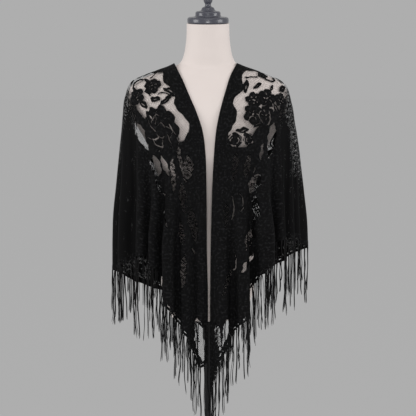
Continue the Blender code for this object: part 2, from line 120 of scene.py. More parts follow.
# Where each front edge of the shawl runs, in centimetres
LEFT_EDGE = (
    # drop, from the middle
    (0.0, 8.0),
    (0.8, 7.5),
    (1.7, 7.0),
    (3.6, 6.0),
    (7.6, 4.2),
    (10.8, 2.75),
    (15.0, 1.3),
    (18.0, 0.8),
    (23.0, 0.45),
    (34.0, 0.30),
    (44.0, 0.26),
    (49.0, 0.15),
    (54.0, 0.05),
    (60.0, 0.03),
    (85.0, 0.03),
)
RIGHT_EDGE = (
    # drop, from the middle
    (0.0, 6.8),
    (2.6, 5.3),
    (5.6, 4.3),
    (8.9, 3.3),
    (12.7, 2.35),
    (15.6, 1.85),
    (20.0, 1.45),
    (30.0, 0.95),
    (46.0, 0.60),
    (60.0, 0.50),
    (85.0, 0.45),
)

# The hanging folds from a front edge to the middle of the back: share of the section, how far its
# sides turn away once it is full in radians, the drops where it starts and is full, how far it
# leans over, and the drops of the hem where it begins and half way over it
LEFT_FOLDS = (
    # share, turn, starts, full, lean, hem, half way
    (0.066, 0.60, 26.0, 56.0, 0.00, 71.2, 72.6),
    (0.064, 1.35, 20.0, 50.0, 0.15, 69.4, 64.4),
    (0.070, 1.60, 14.0, 44.0, 0.32, 62.2, 57.6),
    (0.068, 1.50, 12.0, 42.0, 0.28, 51.6, 48.0),
    (0.085, 1.20, 9.0, 38.0, -0.05, 45.4, 45.6),
    (0.122, 1.00, 8.0, 38.0, -0.05, 46.4, 48.4),
    (0.140, 1.05, 9.0, 40.0, 0.00, 49.8, 51.2),
    (0.105, 0.95, 12.0, 42.0, 0.00, 54.0, 55.2),
    (0.110, 1.40, 10.0, 44.0, -0.15, 56.4, 57.6),
    (0.098, 1.55, 12.0, 46.0, -0.15, 59.0, 61.3),
    (0.072, 1.10, 16.0, 50.0, 0.00, 64.2, 67.1),
)
RIGHT_FOLDS = (
    # share, turn, starts, full, lean, hem, half way
    (0.097, 1.10, 28.0, 58.0, 0.20, 79.4, 69.4),
    (0.073, 1.60, 18.0, 50.0, 0.30, 64.4, 60.8),
    (0.110, 1.50, 11.0, 42.0, 0.30, 54.2, 47.8),
    (0.075, 1.25, 9.0, 40.0, 0.05, 43.4, 41.7),
    (0.060, 1.00, 8.0, 38.0, 0.00, 41.5, 41.6),
    (0.055, 0.90, 8.0, 38.0, 0.00, 41.9, 42.4),
    (0.138, 1.00, 9.0, 40.0, 0.00, 43.4, 45.6),
    (0.108, 1.05, 12.0, 42.0, 0.00, 48.0, 50.0),
    (0.112, 1.40, 10.0, 44.0, -0.15, 52.0, 54.0),
    (0.094, 1.55, 12.0, 46.0, -0.15, 56.4, 59.8),
    (0.078, 1.05, 16.0, 50.0, 0.00, 63.6, 66.8),
)

# How wide the solid border along the long edge is on the fronts, in centimetres
LEFT_BORDER = (
    # drop, width
    (0.0, 2.4),
    (4.3, 4.2),
    (5.9, 2.9),
    (9.6, 4.1),
    (13.4, 2.6),
    (18.6, 5.1),
    (24.0, 2.7),
    (29.0, 3.9),
    (39.0, 1.9),
    (46.0, 4.0),
    (54.0, 2.1),
    (62.0, 1.0),
    (80.0, 0.8),
)
RIGHT_BORDER = (
    # drop, width
    (0.0, 3.1),
    (2.4, 2.6),
    (5.8, 3.9),
    (7.9, 2.4),
    (12.2, 4.3),
    (17.1, 2.9),
    (21.0, 3.5),
    (35.0, 3.0),
    (46.0, 4.0),
    (54.0, 2.5),
    (62.0, 1.2),
    (80.0, 1.0),
)
BACK_BORDER = 3.4 * CM
BACK_BORDER_WAVE = 0.9 * CM
BACK_BORDER_PERIOD = 13.5 * CM
BORDER_BLEND = 4 * CM  # over which the front's border turns into the back's, along the neck
BORDER_STRAYS = 0.7  # how much of the outlines' wandering the border has
LEVEL_FROM = 15 * CM  # below this drop the front's border is measured level along the cloth
LEVEL_OVER = 6 * CM  # and over this it changes to that
HEM_LINE = 6.5 * MM  # a broken light line runs this far above the hem
HEM_SLIT = 2.0 * MM
HEM_DASH = 16 * MM
HEM_DASH_FROM = -0.3  # the line is open where a wave of its dashes is above this
HEM_BAND = 11 * MM

# Where the lower fronts' solid lace and the close net beside it begin, in centimetres
PANEL_TOP = (
    # from the middle, left drop, right drop
    (0.0, 17.4, 18.0),
    (5.0, 17.4, 18.3),
    (7.0, 18.0, 19.0),
    (9.0, 19.6, 19.0),
    (10.5, 20.0, 16.4),
    (12.0, 19.4, 14.4),
    (13.4, 17.0, 13.6),
    (14.4, 13.4, 13.0),
    (15.6, 12.2, 12.2),
    (17.0, 10.6, 10.6),
    (18.0, 8.8, 9.2),
    (30.0, 8.0, 8.6),
)
PANEL_TO_FOLD = (4.7, 3.5)  # of the solid lace, on the left and on the right
PANEL_FOLD_WIDTH = 5 * CM  # about how much cloth a fold has there

# What is drawn on the fronts, as seen from the front, in centimetres: where the middle of each
# piece is, how far it is turned anticlockwise in degrees, and its sizes
MOTIFS = (
    # from the middle, drop, turn, kind, size
    (-14.6, 2.2, 33, "leaf", 1.6),
    (-16.6, 2.9, 24, "leaf", 0.9),
    (-12.4, 1.4, 20, "leaf", 1.6),
    (-14.9, 4.0, -60, "leaf", 1.2),
    (-18.3, 4.6, 60, "leaf", 1.2),
    (-12.8, 2.6, 42, "stem", 1.5),
    (-16.7, 4.9, 0, "hook", 1.6),
    (-13.3, 5.1, 12, "flower", 2.2),
    (-17.1, 7.7, 50, "flower", 2.2),
    (-15.6, 9.4, -52, "leaf", 1.7),
    (-12.6, 8.0, 4, "bud", 1.25),
    (-14.4, 6.9, -40, "stem", 1.0),
    (-9.4, 6.1, -30, "leaf", 1.7),
    (-10.6, 6.9, -14, "stem", 1.6),
    (-10.0, 8.3, 36, "leaf", 1.8),
    (-8.6, 7.2, -10, "leaf", 0.9),
    (-11.2, 15.3, -74, "bloom", 6.6),
    (-13.6, 12.8, -56, "leaf", 2.6),
    (-11.9, 28.2, -60, "leaf", 2.3),
    (-6.9, 26.2, 60, "leaf", 1.5),
    (-4.9, 33.4, -56, "leaf", 1.5),
    (-3.6, 44.2, -70, "leaf", 2.0),
    (10.5, 3.2, 22, "stem", 1.6),
    (13.0, 2.7, 0, "flower", 1.35),
    (14.9, 3.5, 0, "curl", 1.4),
    (17.3, 4.1, -34, "leaf", 1.4),
    (11.9, 1.6, -24, "leaf", 1.4),
    (15.4, 5.6, 75, "leaf", 1.1),
    (12.0, 5.1, 40, "leaf", 1.5),
    (9.2, 5.2, 83, "leaf", 1.9),
    (11.0, 8.2, 30, "flower", 2.2),
    (14.2, 7.8, 8, "flower", 2.4),
    (10.9, 11.5, 55, "flower", 2.6),
    (14.0, 11.6, 24, "flower", 2.6),
    (18.1, 6.0, 50, "leaf", 1.5),
    (17.6, 8.6, 10, "flower", 1.9),
    (16.3, 10.6, -62, "leaf", 1.8),
    (8.3, 15.1, 9, "leaf", 1.7),
    (12.1, 13.9, 35, "leaf", 1.6),
    (6.3, 17.3, 20, "rose", 1.9),
    (9.7, 17.1, 70, "rose", 1.5),
    (11.3, 24.6, 70, "leaf", 1.8),
    (11.6, 29.9, 20, "leaf", 1.2),
    (10.4, 42.4, 62, "leaf", 1.7),
)
WINDOWS = (
    # from the middle, drop, turn, half length, half width, how much of its net is thread
    (-15.7, 16.9, -66, 3.7, 1.20, 0.10),
    (-12.5, 23.6, -78, 2.7, 1.20, 0.10),
    (-10.2, 23.6, -68, 2.6, 0.75, 0.10),
    (-8.3, 25.6, -86, 4.4, 0.62, 0.58),
    (-6.9, 20.6, -80, 4.2, 0.55, 0.68),
    (-4.7, 23.6, 80, 4.1, 1.35, 0.78),
    (-6.0, 31.2, -84, 3.9, 0.95, 0.86),
    (-3.3, 38.6, -76, 6.4, 1.10, 0.90),
    (-6.3, 39.6, -84, 2.9, 0.70, 0.55),
    (-5.9, 48.9, 88, 4.4, 0.75, 0.78),
    (-1.65, 66.0, -80, 6.0, 1.45, 0.30),
    (15.2, 17.6, 79, 4.9, 1.15, 0.28),
    (12.8, 20.2, 84, 2.2, 0.45, 0.40),
    (6.4, 23.6, 82, 3.8, 0.80, 0.88),
    (9.4, 23.4, 80, 3.0, 0.90, 0.86),
    (11.2, 27.8, 64, 2.6, 1.35, 0.55),
    (11.5, 33.2, -82, 2.5, 0.95, 0.50),
    (4.3, 35.6, 88, 3.2, 0.70, 0.91),
    (11.0, 37.2, 90, 1.3, 0.35, 0.50),
    (10.1, 41.0, 74, 3.0, 1.15, 0.62),
    (10.4, 46.0, 60, 1.6, 0.35, 0.85),
    (9.1, 47.2, 56, 2.2, 0.50, 0.30),
    (4.6, 51.6, 72, 3.4, 0.70, 0.93),
    (4.3, 63.4, 84, 2.8, 0.75, 0.20),
    (2.6, 65.1, -80, 3.8, 0.95, 0.20),
)
BACK_GAP = (-16.4, 16.5, -68, 6.2, 2.0)  # in the back, behind the first window, likewise
BACK_GAP_COVER = 0.30
# Windows with rungs across them
LADDERS = (
    # from the middle, drop, turn, half length, half width
    (-6.3, 39.6, -86, 2.6, 0.70),
    (-2.5, 64.4, -80, 3.0, 0.35),
    (2.6, 65.1, -80, 3.4, 0.80),
    (9.9, 42.4, 74, 1.6, 0.60),
)
# Bent light lines through the solid lace
VEINS = (
    # from the middle, drop, turn, half length, bend
    (-10.9, 28.5, -56, 3.0, -1.0),
    (-6.2, 31.6, -75, 2.2, 0.5),
    (-9.6, 35.6, -86, 2.6, -0.8),
    (12.8, 11.9, -88, 1.5, -0.5),
    (14.3, 12.3, -94, 1.9, 0.7),
    (10.6, 12.6, 10, 0.9, 0.6),
    (13.4, 9.4, 0, 0.8, -0.3),
    (15.5, 10.0, -90, 1.2, 0.4),
    (5.5, 33.5, -90, 2.9, 0.8),
    (7.7, 32.4, -82, 2.2, 0.8),
    (6.1, 46.7, -88, 2.3, 0.8),
)
FLAT_TO = 19 * CM  # a motif above this drop is drawn flat, and one below it as seen from the front

# The outlines of the lace wander, as a sum of waves
WANDERS = (
    # waves a metre across and down, phase, reach in millimetres
    (31, 17, 0.4, 1.1),
    (-22, 44, 2.1, 0.9),
    (58, -37, 4.0, 0.6),
    (76, 83, 1.2, 0.45),
)

# The repeat of the back, with places from its middle in centimetres and degrees
REPEAT_ACROSS = 9.4 * CM
REPEAT_DOWN = 10.6 * CM
REPEAT_MOTIFS = (
    # across, down, turn, kind, size
    (0.0, 0.0, 0, "rose", 3.1),
    (-3.4, 3.1, -48, "leaf", 2.1),
    (3.3, 3.0, 48, "leaf", 2.1),
    (-3.3, -3.2, 42, "leaf", 2.0),
    (3.4, -3.0, -42, "leaf", 2.0),
    (0.0, 4.9, 90, "bud", 1.3),
    (0.0, -4.6, 180, "curl", 1.1),
)
REPEAT_FROM = 10 * CM  # the middle of a repeat is this far down from the neck
BACK_FROM_FOLD = 7.0
BACK_FOLD_WIDTH = 4 * CM  # about how much cloth a fold has there
SLIT = 2.2 * MM  # the width of the light lines inside the motifs
RUNG_PITCH = 5.3 * MM
RUNG_WIDTH = 2.4 * MM
STEM_WIDTH = 3.0 * MM
CURL_WIDTH = 5.0 * MM
CURL_BALL = 4.0 * MM  # the radius of a curl's end
BLOOM_NARROWER = 0.68
MOTIF_REACH = 1.3  # no motif reaches further than this many times its size

# Soft creases in the hanging cloth, between the main folds. The sizes are in centimetres, except
# that the rise is in millimetres and the place and the width count folds.
CREASES = (
    # half, place, width, from drop, to drop, rise
    (-1, 0.45, 0.16, 20.0, 48.0, 1.6),
    (-1, 1.30, 0.12, 26.0, 44.0, 1.2),
    (-1, 2.20, 0.14, 17.0, 38.0, 1.8),
    (-1, 3.40, 0.13, 22.0, 41.0, 1.1),
    (-1, 4.55, 0.10, 12.0, 30.0, 2.2),
    (-1, 5.20, 0.09, 11.0, 39.0, 2.6),
    (-1, 5.62, 0.07, 9.0, 24.0, 1.7),
    (-1, 6.50, 0.12, 14.0, 43.0, 2.0),
    (-1, 7.40, 0.14, 16.0, 40.0, 1.5),
    (-1, 8.30, 0.12, 19.0, 47.0, 2.1),
    (-1, 9.25, 0.15, 15.0, 36.0, 1.4),
    (-1, 10.40, 0.13, 22.0, 52.0, 1.9),
    (1, 0.35, 0.14, 24.0, 55.0, 1.7),
    (1, 1.20, 0.15, 18.0, 40.0, 1.3),
    (1, 1.75, 0.10, 28.0, 50.0, 1.8),
    (1, 3.20, 0.12, 14.0, 36.0, 1.9),
    (1, 4.40, 0.12, 12.0, 37.0, 2.3),
    (1, 5.35, 0.13, 10.0, 27.0, 1.6),
    (1, 6.30, 0.11, 13.0, 39.0, 2.2),
    (1, 7.30, 0.13, 18.0, 44.0, 1.5),
    (1, 8.50, 0.12, 15.0, 42.0, 2.0),
    (1, 9.40, 0.13, 20.0, 50.0, 1.6),
    (1, 10.50, 0.10, 17.0, 38.0, 1.3),
)
CREASE_FADE = 3  # a crease comes and goes over its length divided by this

# The net
NET_PITCH = 2.8 * MM  # from thread to thread
NET_SLANT = 0.8  # how far across a thread runs for each step down
NET_ACROSS = NET_PITCH * 1.28  # from thread to thread, level across
NET_WOBBLE = 1.3 * MM
MOST_OPEN = 0.95  # of the net's area

# How much of the net is thread: on the chest, beside the lower fronts' lace, in the sheer strip
# along each side, and on the back
CHEST_COVER = 0.16
CLOSE_COVER = 0.965
SHEER_COVER = 0.72
BACK_COVER = 0.50
BACK_LOW_COVER = 0.70
BESIDE_COVER = 0.95  # on the lower back, beside the fronts
BESIDE_TO_FOLD = 9.5
BESIDE_BLEND = 1.5  # folds
BACK_BLEND = 0.4  # folds
BACK_LOW_FROM = 20 * CM
BACK_LOW_BLEND = 10 * CM
LINE_COVER = 0.06  # behind a light line
HEM_LINE_COVER = 0.45
HEM_LINE_MARGIN = 2 * MM
NET_MARGIN = 5 * MM  # the net of a window or a line goes on this far behind the lace round it
SHEER_FROM = (
    # drop, how far from the middle on the left and on the right, in centimetres
    (0.0, 18.4, 18.4),
    (9.0, 18.4, 18.0),
    (12.5, 19.3, 18.4),
    (16.0, 20.3, 19.2),
    (22.0, 20.9, 19.9),
    (32.0, 21.6, 20.4),
    (45.0, 22.0, 21.0),
)
SHEER_SIDE_BLEND = 0.9  # centimetres
SHEER_TOP = 5 * CM
SHEER_TOP_BLEND = 3 * CM
SHEER_TO = (29 * CM, 33 * CM)  # the strips end at these drops, on the left and on the right
SHEER_END_BLEND = 9 * CM

# The fringe
FRINGE_LENGTH = 140 * MM
LENGTH_PARTS = (0.50, 1.03)  # of the shortest clumps and of the longest
UNEVEN_ENDS = (0.95, 1.02)  # of the threads in a clump
KNOT_PITCH = (9.6 * MM, 12.5 * MM)  # in front and at the back
KNOT_STRAYS = 0.42  # of the pitch, to either side
THREADS_A_KNOT = 3
THREAD_RADIUS = 0.60 * MM
THREAD_STEPS = 18
THREAD_TAPER = [1.7, 1.5] + [1.0] * (THREAD_STEPS - 3) + [0.5]  # from the knot to the end
BESIDE_IN_KNOT = 1.4  # times the radius
THREAD_SPREAD = 0.8 * MM
THREAD_WAVE = 1.8 * MM
THREAD_WAVES = (0.7, 2.4)  # down a thread
WAVE_PARTS = (0.2, 1.0)
STRAY_SHARE = 0.20
STRAY_SPREAD = 4.0 * MM
CLUMP_DRIFT = 3.4 * MM

# Values to work with
rng = np.random.default_rng(11)
NOTHING = -1.0  # in the pattern: far outside
FAR = 9.0  # metres, where a point isn't near at all
FINE = 1500  # points along a line that is measured
FACING = 0.05  # cloth faces the front where its normal turns there by more than this
FACING_REACH = 5 * CM  # a flat motif lies on cloth that is no further in or out than this
NEARER = 0.05  # where cloth lies behind cloth, this share of its depth makes the front one win


# ---------------------------------------------------------------- tables and curves


class Smooth:
    """A smooth curve through a table's rows, against its first column, which never overshoots."""

    def __init__(self, rows):
        data = np.array(rows, float)
        self.at = data[:, 0]
        self.values = data[:, 1:]
        slopes = np.diff(self.values, axis=0) / np.diff(self.at)[:, None]
        self.slopes = np.zeros_like(self.values)
        self.slopes[0] = slopes[0]
        self.slopes[-1] = slopes[-1]
        before, after = slopes[:-1], slopes[1:]
        same_way = before * after > 0
        safe_sum = np.where(same_way, before + after, 1.0)
        self.slopes[1:-1] = np.where(same_way, 2 * before * after / safe_sum, 0.0)

    def __call__(self, where):
        where = np.clip(where, self.at[0], self.at[-1])
        row = np.clip(np.searchsorted(self.at, where) - 1, 0, len(self.at) - 2)
        step = (self.at[row + 1] - self.at[row])[..., None]
        t = (where - self.at[row])[..., None] / step
        start, end = self.values[row], self.values[row + 1]
        leave, arrive = self.slopes[row] * step, self.slopes[row + 1] * step
        return (
            start * (1 + 2 * t) * (1 - t) ** 2
            + leave * t * (1 - t) ** 2
            + end * t * t * (3 - 2 * t)
            + arrive * t * t * (t - 1)
        )


def ease(t):
    """A smooth rise from 0 to 1."""
    t = np.clip(t, 0.0, 1.0)
    return t * t * (3 - 2 * t)


def blend(one, other, part):
    return one * (1 - part) + other * part


def least(arrays):
    """The least of many arrays, point by point."""
    return reduce(np.minimum, arrays)


def oval(angles, side, front, back, squareness):
    """X and Y of a horizontal oval. Angle 0 is the middle of its front, and pi that of its back."""
    power = 2 / squareness
    sines, cosines = np.sin(angles), np.cos(angles)
    depth = np.where(cosines > 0, front, back)
    x = side * np.sign(sines) * np.abs(sines) ** power
    y = -depth * np.sign(cosines) * np.abs(cosines) ** power
    return x, y


def running(points, axis):
    """The length along rows of points, from the first."""
    steps = np.linalg.norm(np.diff(points, axis=axis), axis=-1)
    return np.insert(np.cumsum(steps, axis=axis), 0, 0, axis=axis)


class Grid:
    """Values on an even grid of two numbers, read between the grid's points."""

    def __init__(self, first_most, second_most, values):
        self.most = (first_most, second_most)
        self.values = values

    def __call__(self, first, second):
        cells = []
        for number, most, size in zip((first, second), self.most, self.values.shape):
            at = np.clip(number / most, 0, 1) * (size - 1)
            whole = np.minimum(at.astype(int), size - 2)
            cells.append((whole, (at - whole)[..., None]))
        (i, a), (j, b) = cells
        v = self.values
        low = v[i, j] * (1 - b) + v[i, j + 1] * b
        high = v[i + 1, j] * (1 - b) + v[i + 1, j + 1] * b
        return low * (1 - a) + high * a


def meanders():
    """A fold's shape against its turn and how far along its cloth one is: along and out, as parts
    of the fold's width, and how much longer than that width its cloth is."""
    turns = np.linspace(0, MOST_TURN, TURNS)[:, None]
    way = turns * np.sin(2 * np.pi * np.linspace(0, 1, FOLD_STEPS + 1))
    along = np.cumsum((np.cos(way[:, 1:]) + np.cos(way[:, :-1])) / 2, axis=1)
    out = np.cumsum((np.sin(way[:, 1:]) + np.sin(way[:, :-1])) / 2, axis=1)
    along, out = (np.insert(line, 0, 0, axis=1) for line in (along, out))
    width = along[:, -1:]
    slack = np.broadcast_to(FOLD_STEPS / width, along.shape)
    return Grid(MOST_TURN, 1, np.stack([along / width, out / width, slack], axis=-1))


MOST_TURN = 1.7
TURNS = 171
FOLD_STEPS = 160
MEANDER = meanders()
MOST_DROP = 0.85
SECTION_DROPS = np.linspace(0, MOST_DROP, 851)  # a millimetre apart


# ---------------------------------------------------------------- the shawl's surface


class Half:
    """The left or right half of the shawl, from its front edge to the middle of the back."""

    ROUND = 500  # points of each section as it is worked out
    EVEN = 480  # and as it is kept, evenly spaced

    def __init__(self, way, side_column, edge, folds):
        self.way = way  # -1 on the left and 1 on the right
        self.folds = len(folds)
        self.top = edge[0][0] * CM
        self.rows = np.array(folds, float)[:, :5]
        self.starts = np.concatenate([[0], np.cumsum(self.rows[:, 0])]) / self.rows[:, 0].sum()
        hems = [drop for fold in folds for drop in fold[5:7]] + [BACK_POINT_DROP]
        self.hem = Smooth([(number / 2, drop * CM) for number, drop in enumerate(hems)])
        sizes = Smooth(CLOTH_SECTIONS)(SECTION_DROPS / CM)
        side, squareness = sizes[:, side_column], sizes[:, 4]
        from_middle = np.minimum(Smooth(edge)(SECTION_DROPS / CM)[:, 0] / side, 1)
        first = np.arcsin(from_middle ** (squareness / 2))[:, None]
        angles = first + (math.pi - first) * np.linspace(0, 1, self.ROUND)
        measures = (size[:, None] * CM for size in (side, sizes[:, 2], sizes[:, 3]))
        line = np.stack(oval(angles, *measures, squareness[:, None]), axis=-1)
        length = running(line, 1)
        self.lengths = length[:, -1]
        parts = np.linspace(0, 1, self.EVEN)
        spaced = [
            [np.interp(parts * far[-1], far, row[:, axis]) for axis in (0, 1)]
            for far, row in zip(length, line)
        ]
        self.sections = Grid(MOST_DROP, 1, np.moveaxis(np.array(spaced), 1, -1))

    def top_drop(self, fold):
        return self.top + (BACK_NECK_DROP - self.top) * ease(fold / self.folds)

    def hem_drop(self, fold):
        return self.hem(fold)[..., 0]

    def turn(self, drop, number):
        _, turn, starts, full, _ = np.moveaxis(self.rows[number], -1, 0)
        return turn * ease((drop / CM - starts) / (full - starts))

    def point(self, drop, fold):
        """Points of the cloth. Fold counts the folds from the front edge."""
        number = np.minimum(fold.astype(int), self.folds - 1)
        along, out, _ = np.moveaxis(MEANDER(self.turn(drop, number), fold - number), -1, 0)
        length = np.interp(drop, SECTION_DROPS, self.lengths)
        share = self.starts[number + 1] - self.starts[number]
        part = self.starts[number] + share * (along + self.rows[number, 4] * out)
        near = 2 * MM / length
        here = self.sections(drop, part)
        line = self.sections(drop, part + near) - self.sections(drop, part - near)
        line /= np.linalg.norm(line, axis=-1, keepdims=True)
        off = (share * length * out)[..., None] * np.stack([line[..., 1], -line[..., 0]], axis=-1)
        here = here + off
        return np.stack([self.way * here[..., 0], here[..., 1], SHOULDER_HEIGHT - drop], axis=-1)

    def across(self, drop, fold):
        """How much cloth lies between the front edge and a point, level along its folds."""
        length = np.interp(drop, SECTION_DROPS, self.lengths)
        total = np.zeros_like(drop)
        for number in range(self.folds):
            share = self.starts[number + 1] - self.starts[number]
            slack = MEANDER(self.turn(drop, np.full(drop.shape, number)), np.ones_like(drop))[..., 2]
            total += share * length * slack * np.clip(fold - number, 0, 1)
        return total


LEFT = Half(-1, 0, LEFT_EDGE, LEFT_FOLDS)
RIGHT = Half(1, 1, RIGHT_EDGE, RIGHT_FOLDS)


def wandering(across, down, turn):
    """How far an outline strays here. The turn picks one of many such patterns."""
    return sum(
        reach * MM * np.sin(2 * math.pi * (waves_across * across + waves_down * down) + phase + turn)
        for waves_across, waves_down, phase, reach in WANDERS
    )


class Cloth:
    """A half's surface as a grid of points, with what the pattern is drawn by at each point."""

    FRONT_COLUMNS = 184
    BACK_COLUMNS = 150
    ROWS = 400
    REFERENCE_DROP = 0.34  # the columns are evenly spaced along the cloth here
    CLOSE_TO = 0.30  # the columns lie twice as close as far from the long edge as this
    TOP_ROWS = (0.16, 0.12)  # how much closer the rows lie near the top, and as far down as this

    def __init__(self, half):
        self.half = half
        self.column_folds()
        self.fold = np.repeat(self.folds[:, None], self.ROWS, axis=1)
        self.row_drops()
        surface = half.point(self.drop, self.fold)
        surface = surface + self.crease_rise()[..., None] * self.normals_of(surface)
        self.normal = self.normals_of(surface)
        self.points = surface + self.normal * CLOTH_MIDDLE
        self.across = half.across(self.drop, self.fold)
        whole = half.across(self.drop, np.full_like(self.fold, half.folds))
        self.from_back = whole - self.across
        self.down = running(self.points, 1)
        self.measure_hem()
        self.measure_border()
        self.faces_front = self.normal[..., 1] < -FACING
        self.field, self.cover = draw_pattern(self)

    def column_folds(self):
        fine = np.linspace(0, self.half.folds, FINE)
        length = self.half.across(np.full(fine.shape, self.REFERENCE_DROP), fine)
        length = length + np.minimum(length, self.CLOSE_TO)
        seam = np.interp(SEAM_FOLD, fine, length)
        front = np.linspace(0, seam, self.FRONT_COLUMNS)
        back = np.linspace(seam, length[-1], self.BACK_COLUMNS)[1:]
        self.folds = np.interp(np.concatenate([front, back]), length, fine)
        self.seam = self.FRONT_COLUMNS - 1

    def row_drops(self):
        below = np.linspace(0, 1, self.ROWS)
        top, hem = self.half.top_drop(self.folds), self.half.hem_drop(self.folds)
        closer, reach = self.TOP_ROWS
        self.drop = np.zeros_like(self.fold)
        for column, span in enumerate(hem - top):
            measure = below * span + closer * (1 - np.exp(-below * span / reach))
            even = np.linspace(0, measure[-1], self.ROWS)
            self.drop[column] = top[column] + span * np.interp(even, measure, below)

    def normals_of(self, surface):
        around, down = np.gradient(surface, axis=0), np.gradient(surface, axis=1)
        normal = np.cross(around, down) * -self.half.way
        return normal / np.linalg.norm(normal, axis=-1, keepdims=True)

    def crease_rise(self):
        rise = np.zeros_like(self.drop)
        for way, place, width, start, end, height in CREASES:
            if way != self.half.way:
                continue
            below = (self.drop / CM - start) / (end - start)
            fades = ease(below * CREASE_FADE) * ease((1 - below) * CREASE_FADE)
            rise += height * MM * fades * np.exp(-(((self.fold - place) / width) ** 2))
        return rise

    def measure_hem(self):
        """How far along the cloth each point is from the hem."""
        self.from_hem = least(
            np.hypot(self.across - across, self.drop - drop)
            for across, drop in zip(self.across[::2, -1], self.drop[::2, -1])
        )

    def away_from(self, point):
        return np.linalg.norm(self.points - point, axis=-1)

    def measure_border(self):
        """How far inside the border each point is."""
        widths = LEFT_BORDER if self.half.way < 0 else RIGHT_BORDER
        front = Smooth(widths)(self.drop / CM)[..., 0] * CM
        along_top = running(self.points[:, 0], 0)
        wave = np.cos(2 * np.pi * along_top / BACK_BORDER_PERIOD)
        top = BACK_BORDER + BACK_BORDER_WAVE * wave
        top = blend(front[0, 0], top, ease(along_top / BORDER_BLEND))
        past_top = least(
            self.away_from(point) - width for point, width in zip(self.points[:, 0], top)
        )
        near_front = least(self.away_from(point) for point in self.points[0, ::2])
        level = ease((self.drop - LEVEL_FROM) / LEVEL_OVER)
        inside = np.maximum(-past_top, front - blend(near_front, self.across, level))
        self.in_border = inside + BORDER_STRAYS * wandering(self.across, self.drop, 1.0)


# ---------------------------------------------------------------- the lace pattern

# Each motif gives how far inside its solid shape a point is, and how far inside the light lines
# that are cut out of it: metres, less than 0 outside.


def path(x, y, points):
    """The distance from a line through several points."""
    found = []
    for start, end in zip(points, points[1:]):
        start, way = np.array(start), np.subtract(end, start)
        part = np.clip(((x - start[0]) * way[0] + (y - start[1]) * way[1]) / (way @ way), 0, 1)
        found.append(np.hypot(x - start[0] - part * way[0], y - start[1] - part * way[1]))
    return least(found)


def lens(x, y, half_length, half_width):
    """A pointed oval along X."""
    radius = (half_length**2 + half_width**2) / (2 * half_width)
    return radius - np.hypot(x, np.abs(y) + radius - half_width)


def leaf(x, y, size):
    y = y - 0.10 * size * (1 - (x / size) ** 2)
    slit = lens(x + 0.05 * size, y, 0.48 * size, 0.055 * size)
    return lens(x, y, size, 0.40 * size), slit


def stem(x, y, size):
    bend = 0.22 * size * (1 - (x / size) ** 2)
    return np.minimum(STEM_WIDTH / 2 - np.abs(y - bend) * 0.9, size - np.abs(x)), NOTHING


def bud(x, y, size):
    body = (1 - np.hypot(x / size, y / (0.60 * size))) * 0.6 * size
    return body, lens(x, y, 0.45 * size, SLIT * 0.7)


def petals(x, y, size, count, depth):
    """A round outline with this many petals."""
    lobes = np.abs(np.cos(np.arctan2(y, x) * count / 2)) ** 0.7
    return (size * (1 - depth + depth * lobes) - np.hypot(x, y)) * 0.9


def slits(x, y, size, count, start, end, sweep):
    """Light lines between petals, from and to these parts of the size, curved by the sweep."""
    radius = np.hypot(x, y)
    angle = np.arctan2(y, x) + sweep * radius / size
    off = np.abs(np.sin(angle * count / 2 + math.pi / 2)) * radius * 2 / count
    return np.minimum(SLIT / 2 - off, np.minimum(radius - start * size, end * size - radius))


def flower(x, y, size):
    cut = slits(x, y, size, count=5, start=0.30, end=0.50, sweep=0.5)
    cut = np.maximum(cut, lens(x, y, 0.16 * size, 0.08 * size))
    return petals(x, y, size, count=5, depth=0.30), cut


def arcs(x, y, size, rows):
    """Broken light rings: the radius of each, its count of arcs, their turn and their share."""
    radius, angle = np.hypot(x, y), np.arctan2(y, x)
    found = np.full(x.shape, NOTHING)
    for part, count, turn, share in rows:
        ring = size * part * (1 + 0.10 * np.cos(count * angle + turn))
        along = (np.cos(count * angle + turn) - (1 - 2 * share)) * radius / count
        found = np.maximum(found, np.minimum(SLIT / 2 - np.abs(radius - ring), along))
    return found


ROSE_ARCS = (
    # radius as a part of the size, arcs, turn in radians, share of the ring that is open
    (0.74, 3, 0.3, 0.46),
    (0.42, 2, 1.3, 0.50),
)
BLOOM_ARCS = (
    # the same columns
    (0.25, 2, 0.9, 0.60),
    (0.56, 3, 2.2, 0.50),
)


def rose(x, y, size):
    return petals(x, y, size, count=6, depth=0.15), arcs(x, y, size, ROSE_ARCS)


def bloom(x, y, size):
    """The great flower on the chest."""
    y = y / BLOOM_NARROWER
    cut = slits(x, y, size, count=7, start=0.30, end=0.80, sweep=1.3)
    cut = np.maximum(cut, arcs(x, y, size, BLOOM_ARCS))
    return petals(x, y, size, count=9, depth=0.17), cut


def wound(x, y, size, start, sweep, shrink):
    """A line that winds round to a small ball."""
    turns = np.linspace(0, 1, 12)
    radius = size * (1 - shrink * turns)
    angle = start + sweep * turns
    points = list(zip(radius * np.cos(angle), radius * np.sin(angle)))
    ball = CURL_BALL - np.hypot(x - points[-1][0], y - points[-1][1])
    return np.maximum(CURL_WIDTH / 2 - path(x, y, points), ball)


def curl(x, y, size):
    return wound(x, y, size, start=1.08 * math.pi, sweep=1.12 * math.pi, shrink=0.25), NOTHING


def hook(x, y, size):
    return wound(x, y, size, start=0.23 * math.pi, sweep=0.97 * math.pi, shrink=0), NOTHING


KINDS = {
    "leaf": leaf,
    "stem": stem,
    "bud": bud,
    "flower": flower,
    "rose": rose,
    "bloom": bloom,
    "curl": curl,
    "hook": hook,
}


def turned_to(x, y, degrees):
    cosine, sine = math.cos(math.radians(degrees)), math.sin(math.radians(degrees))
    return cosine * x + sine * y, cosine * y - sine * x


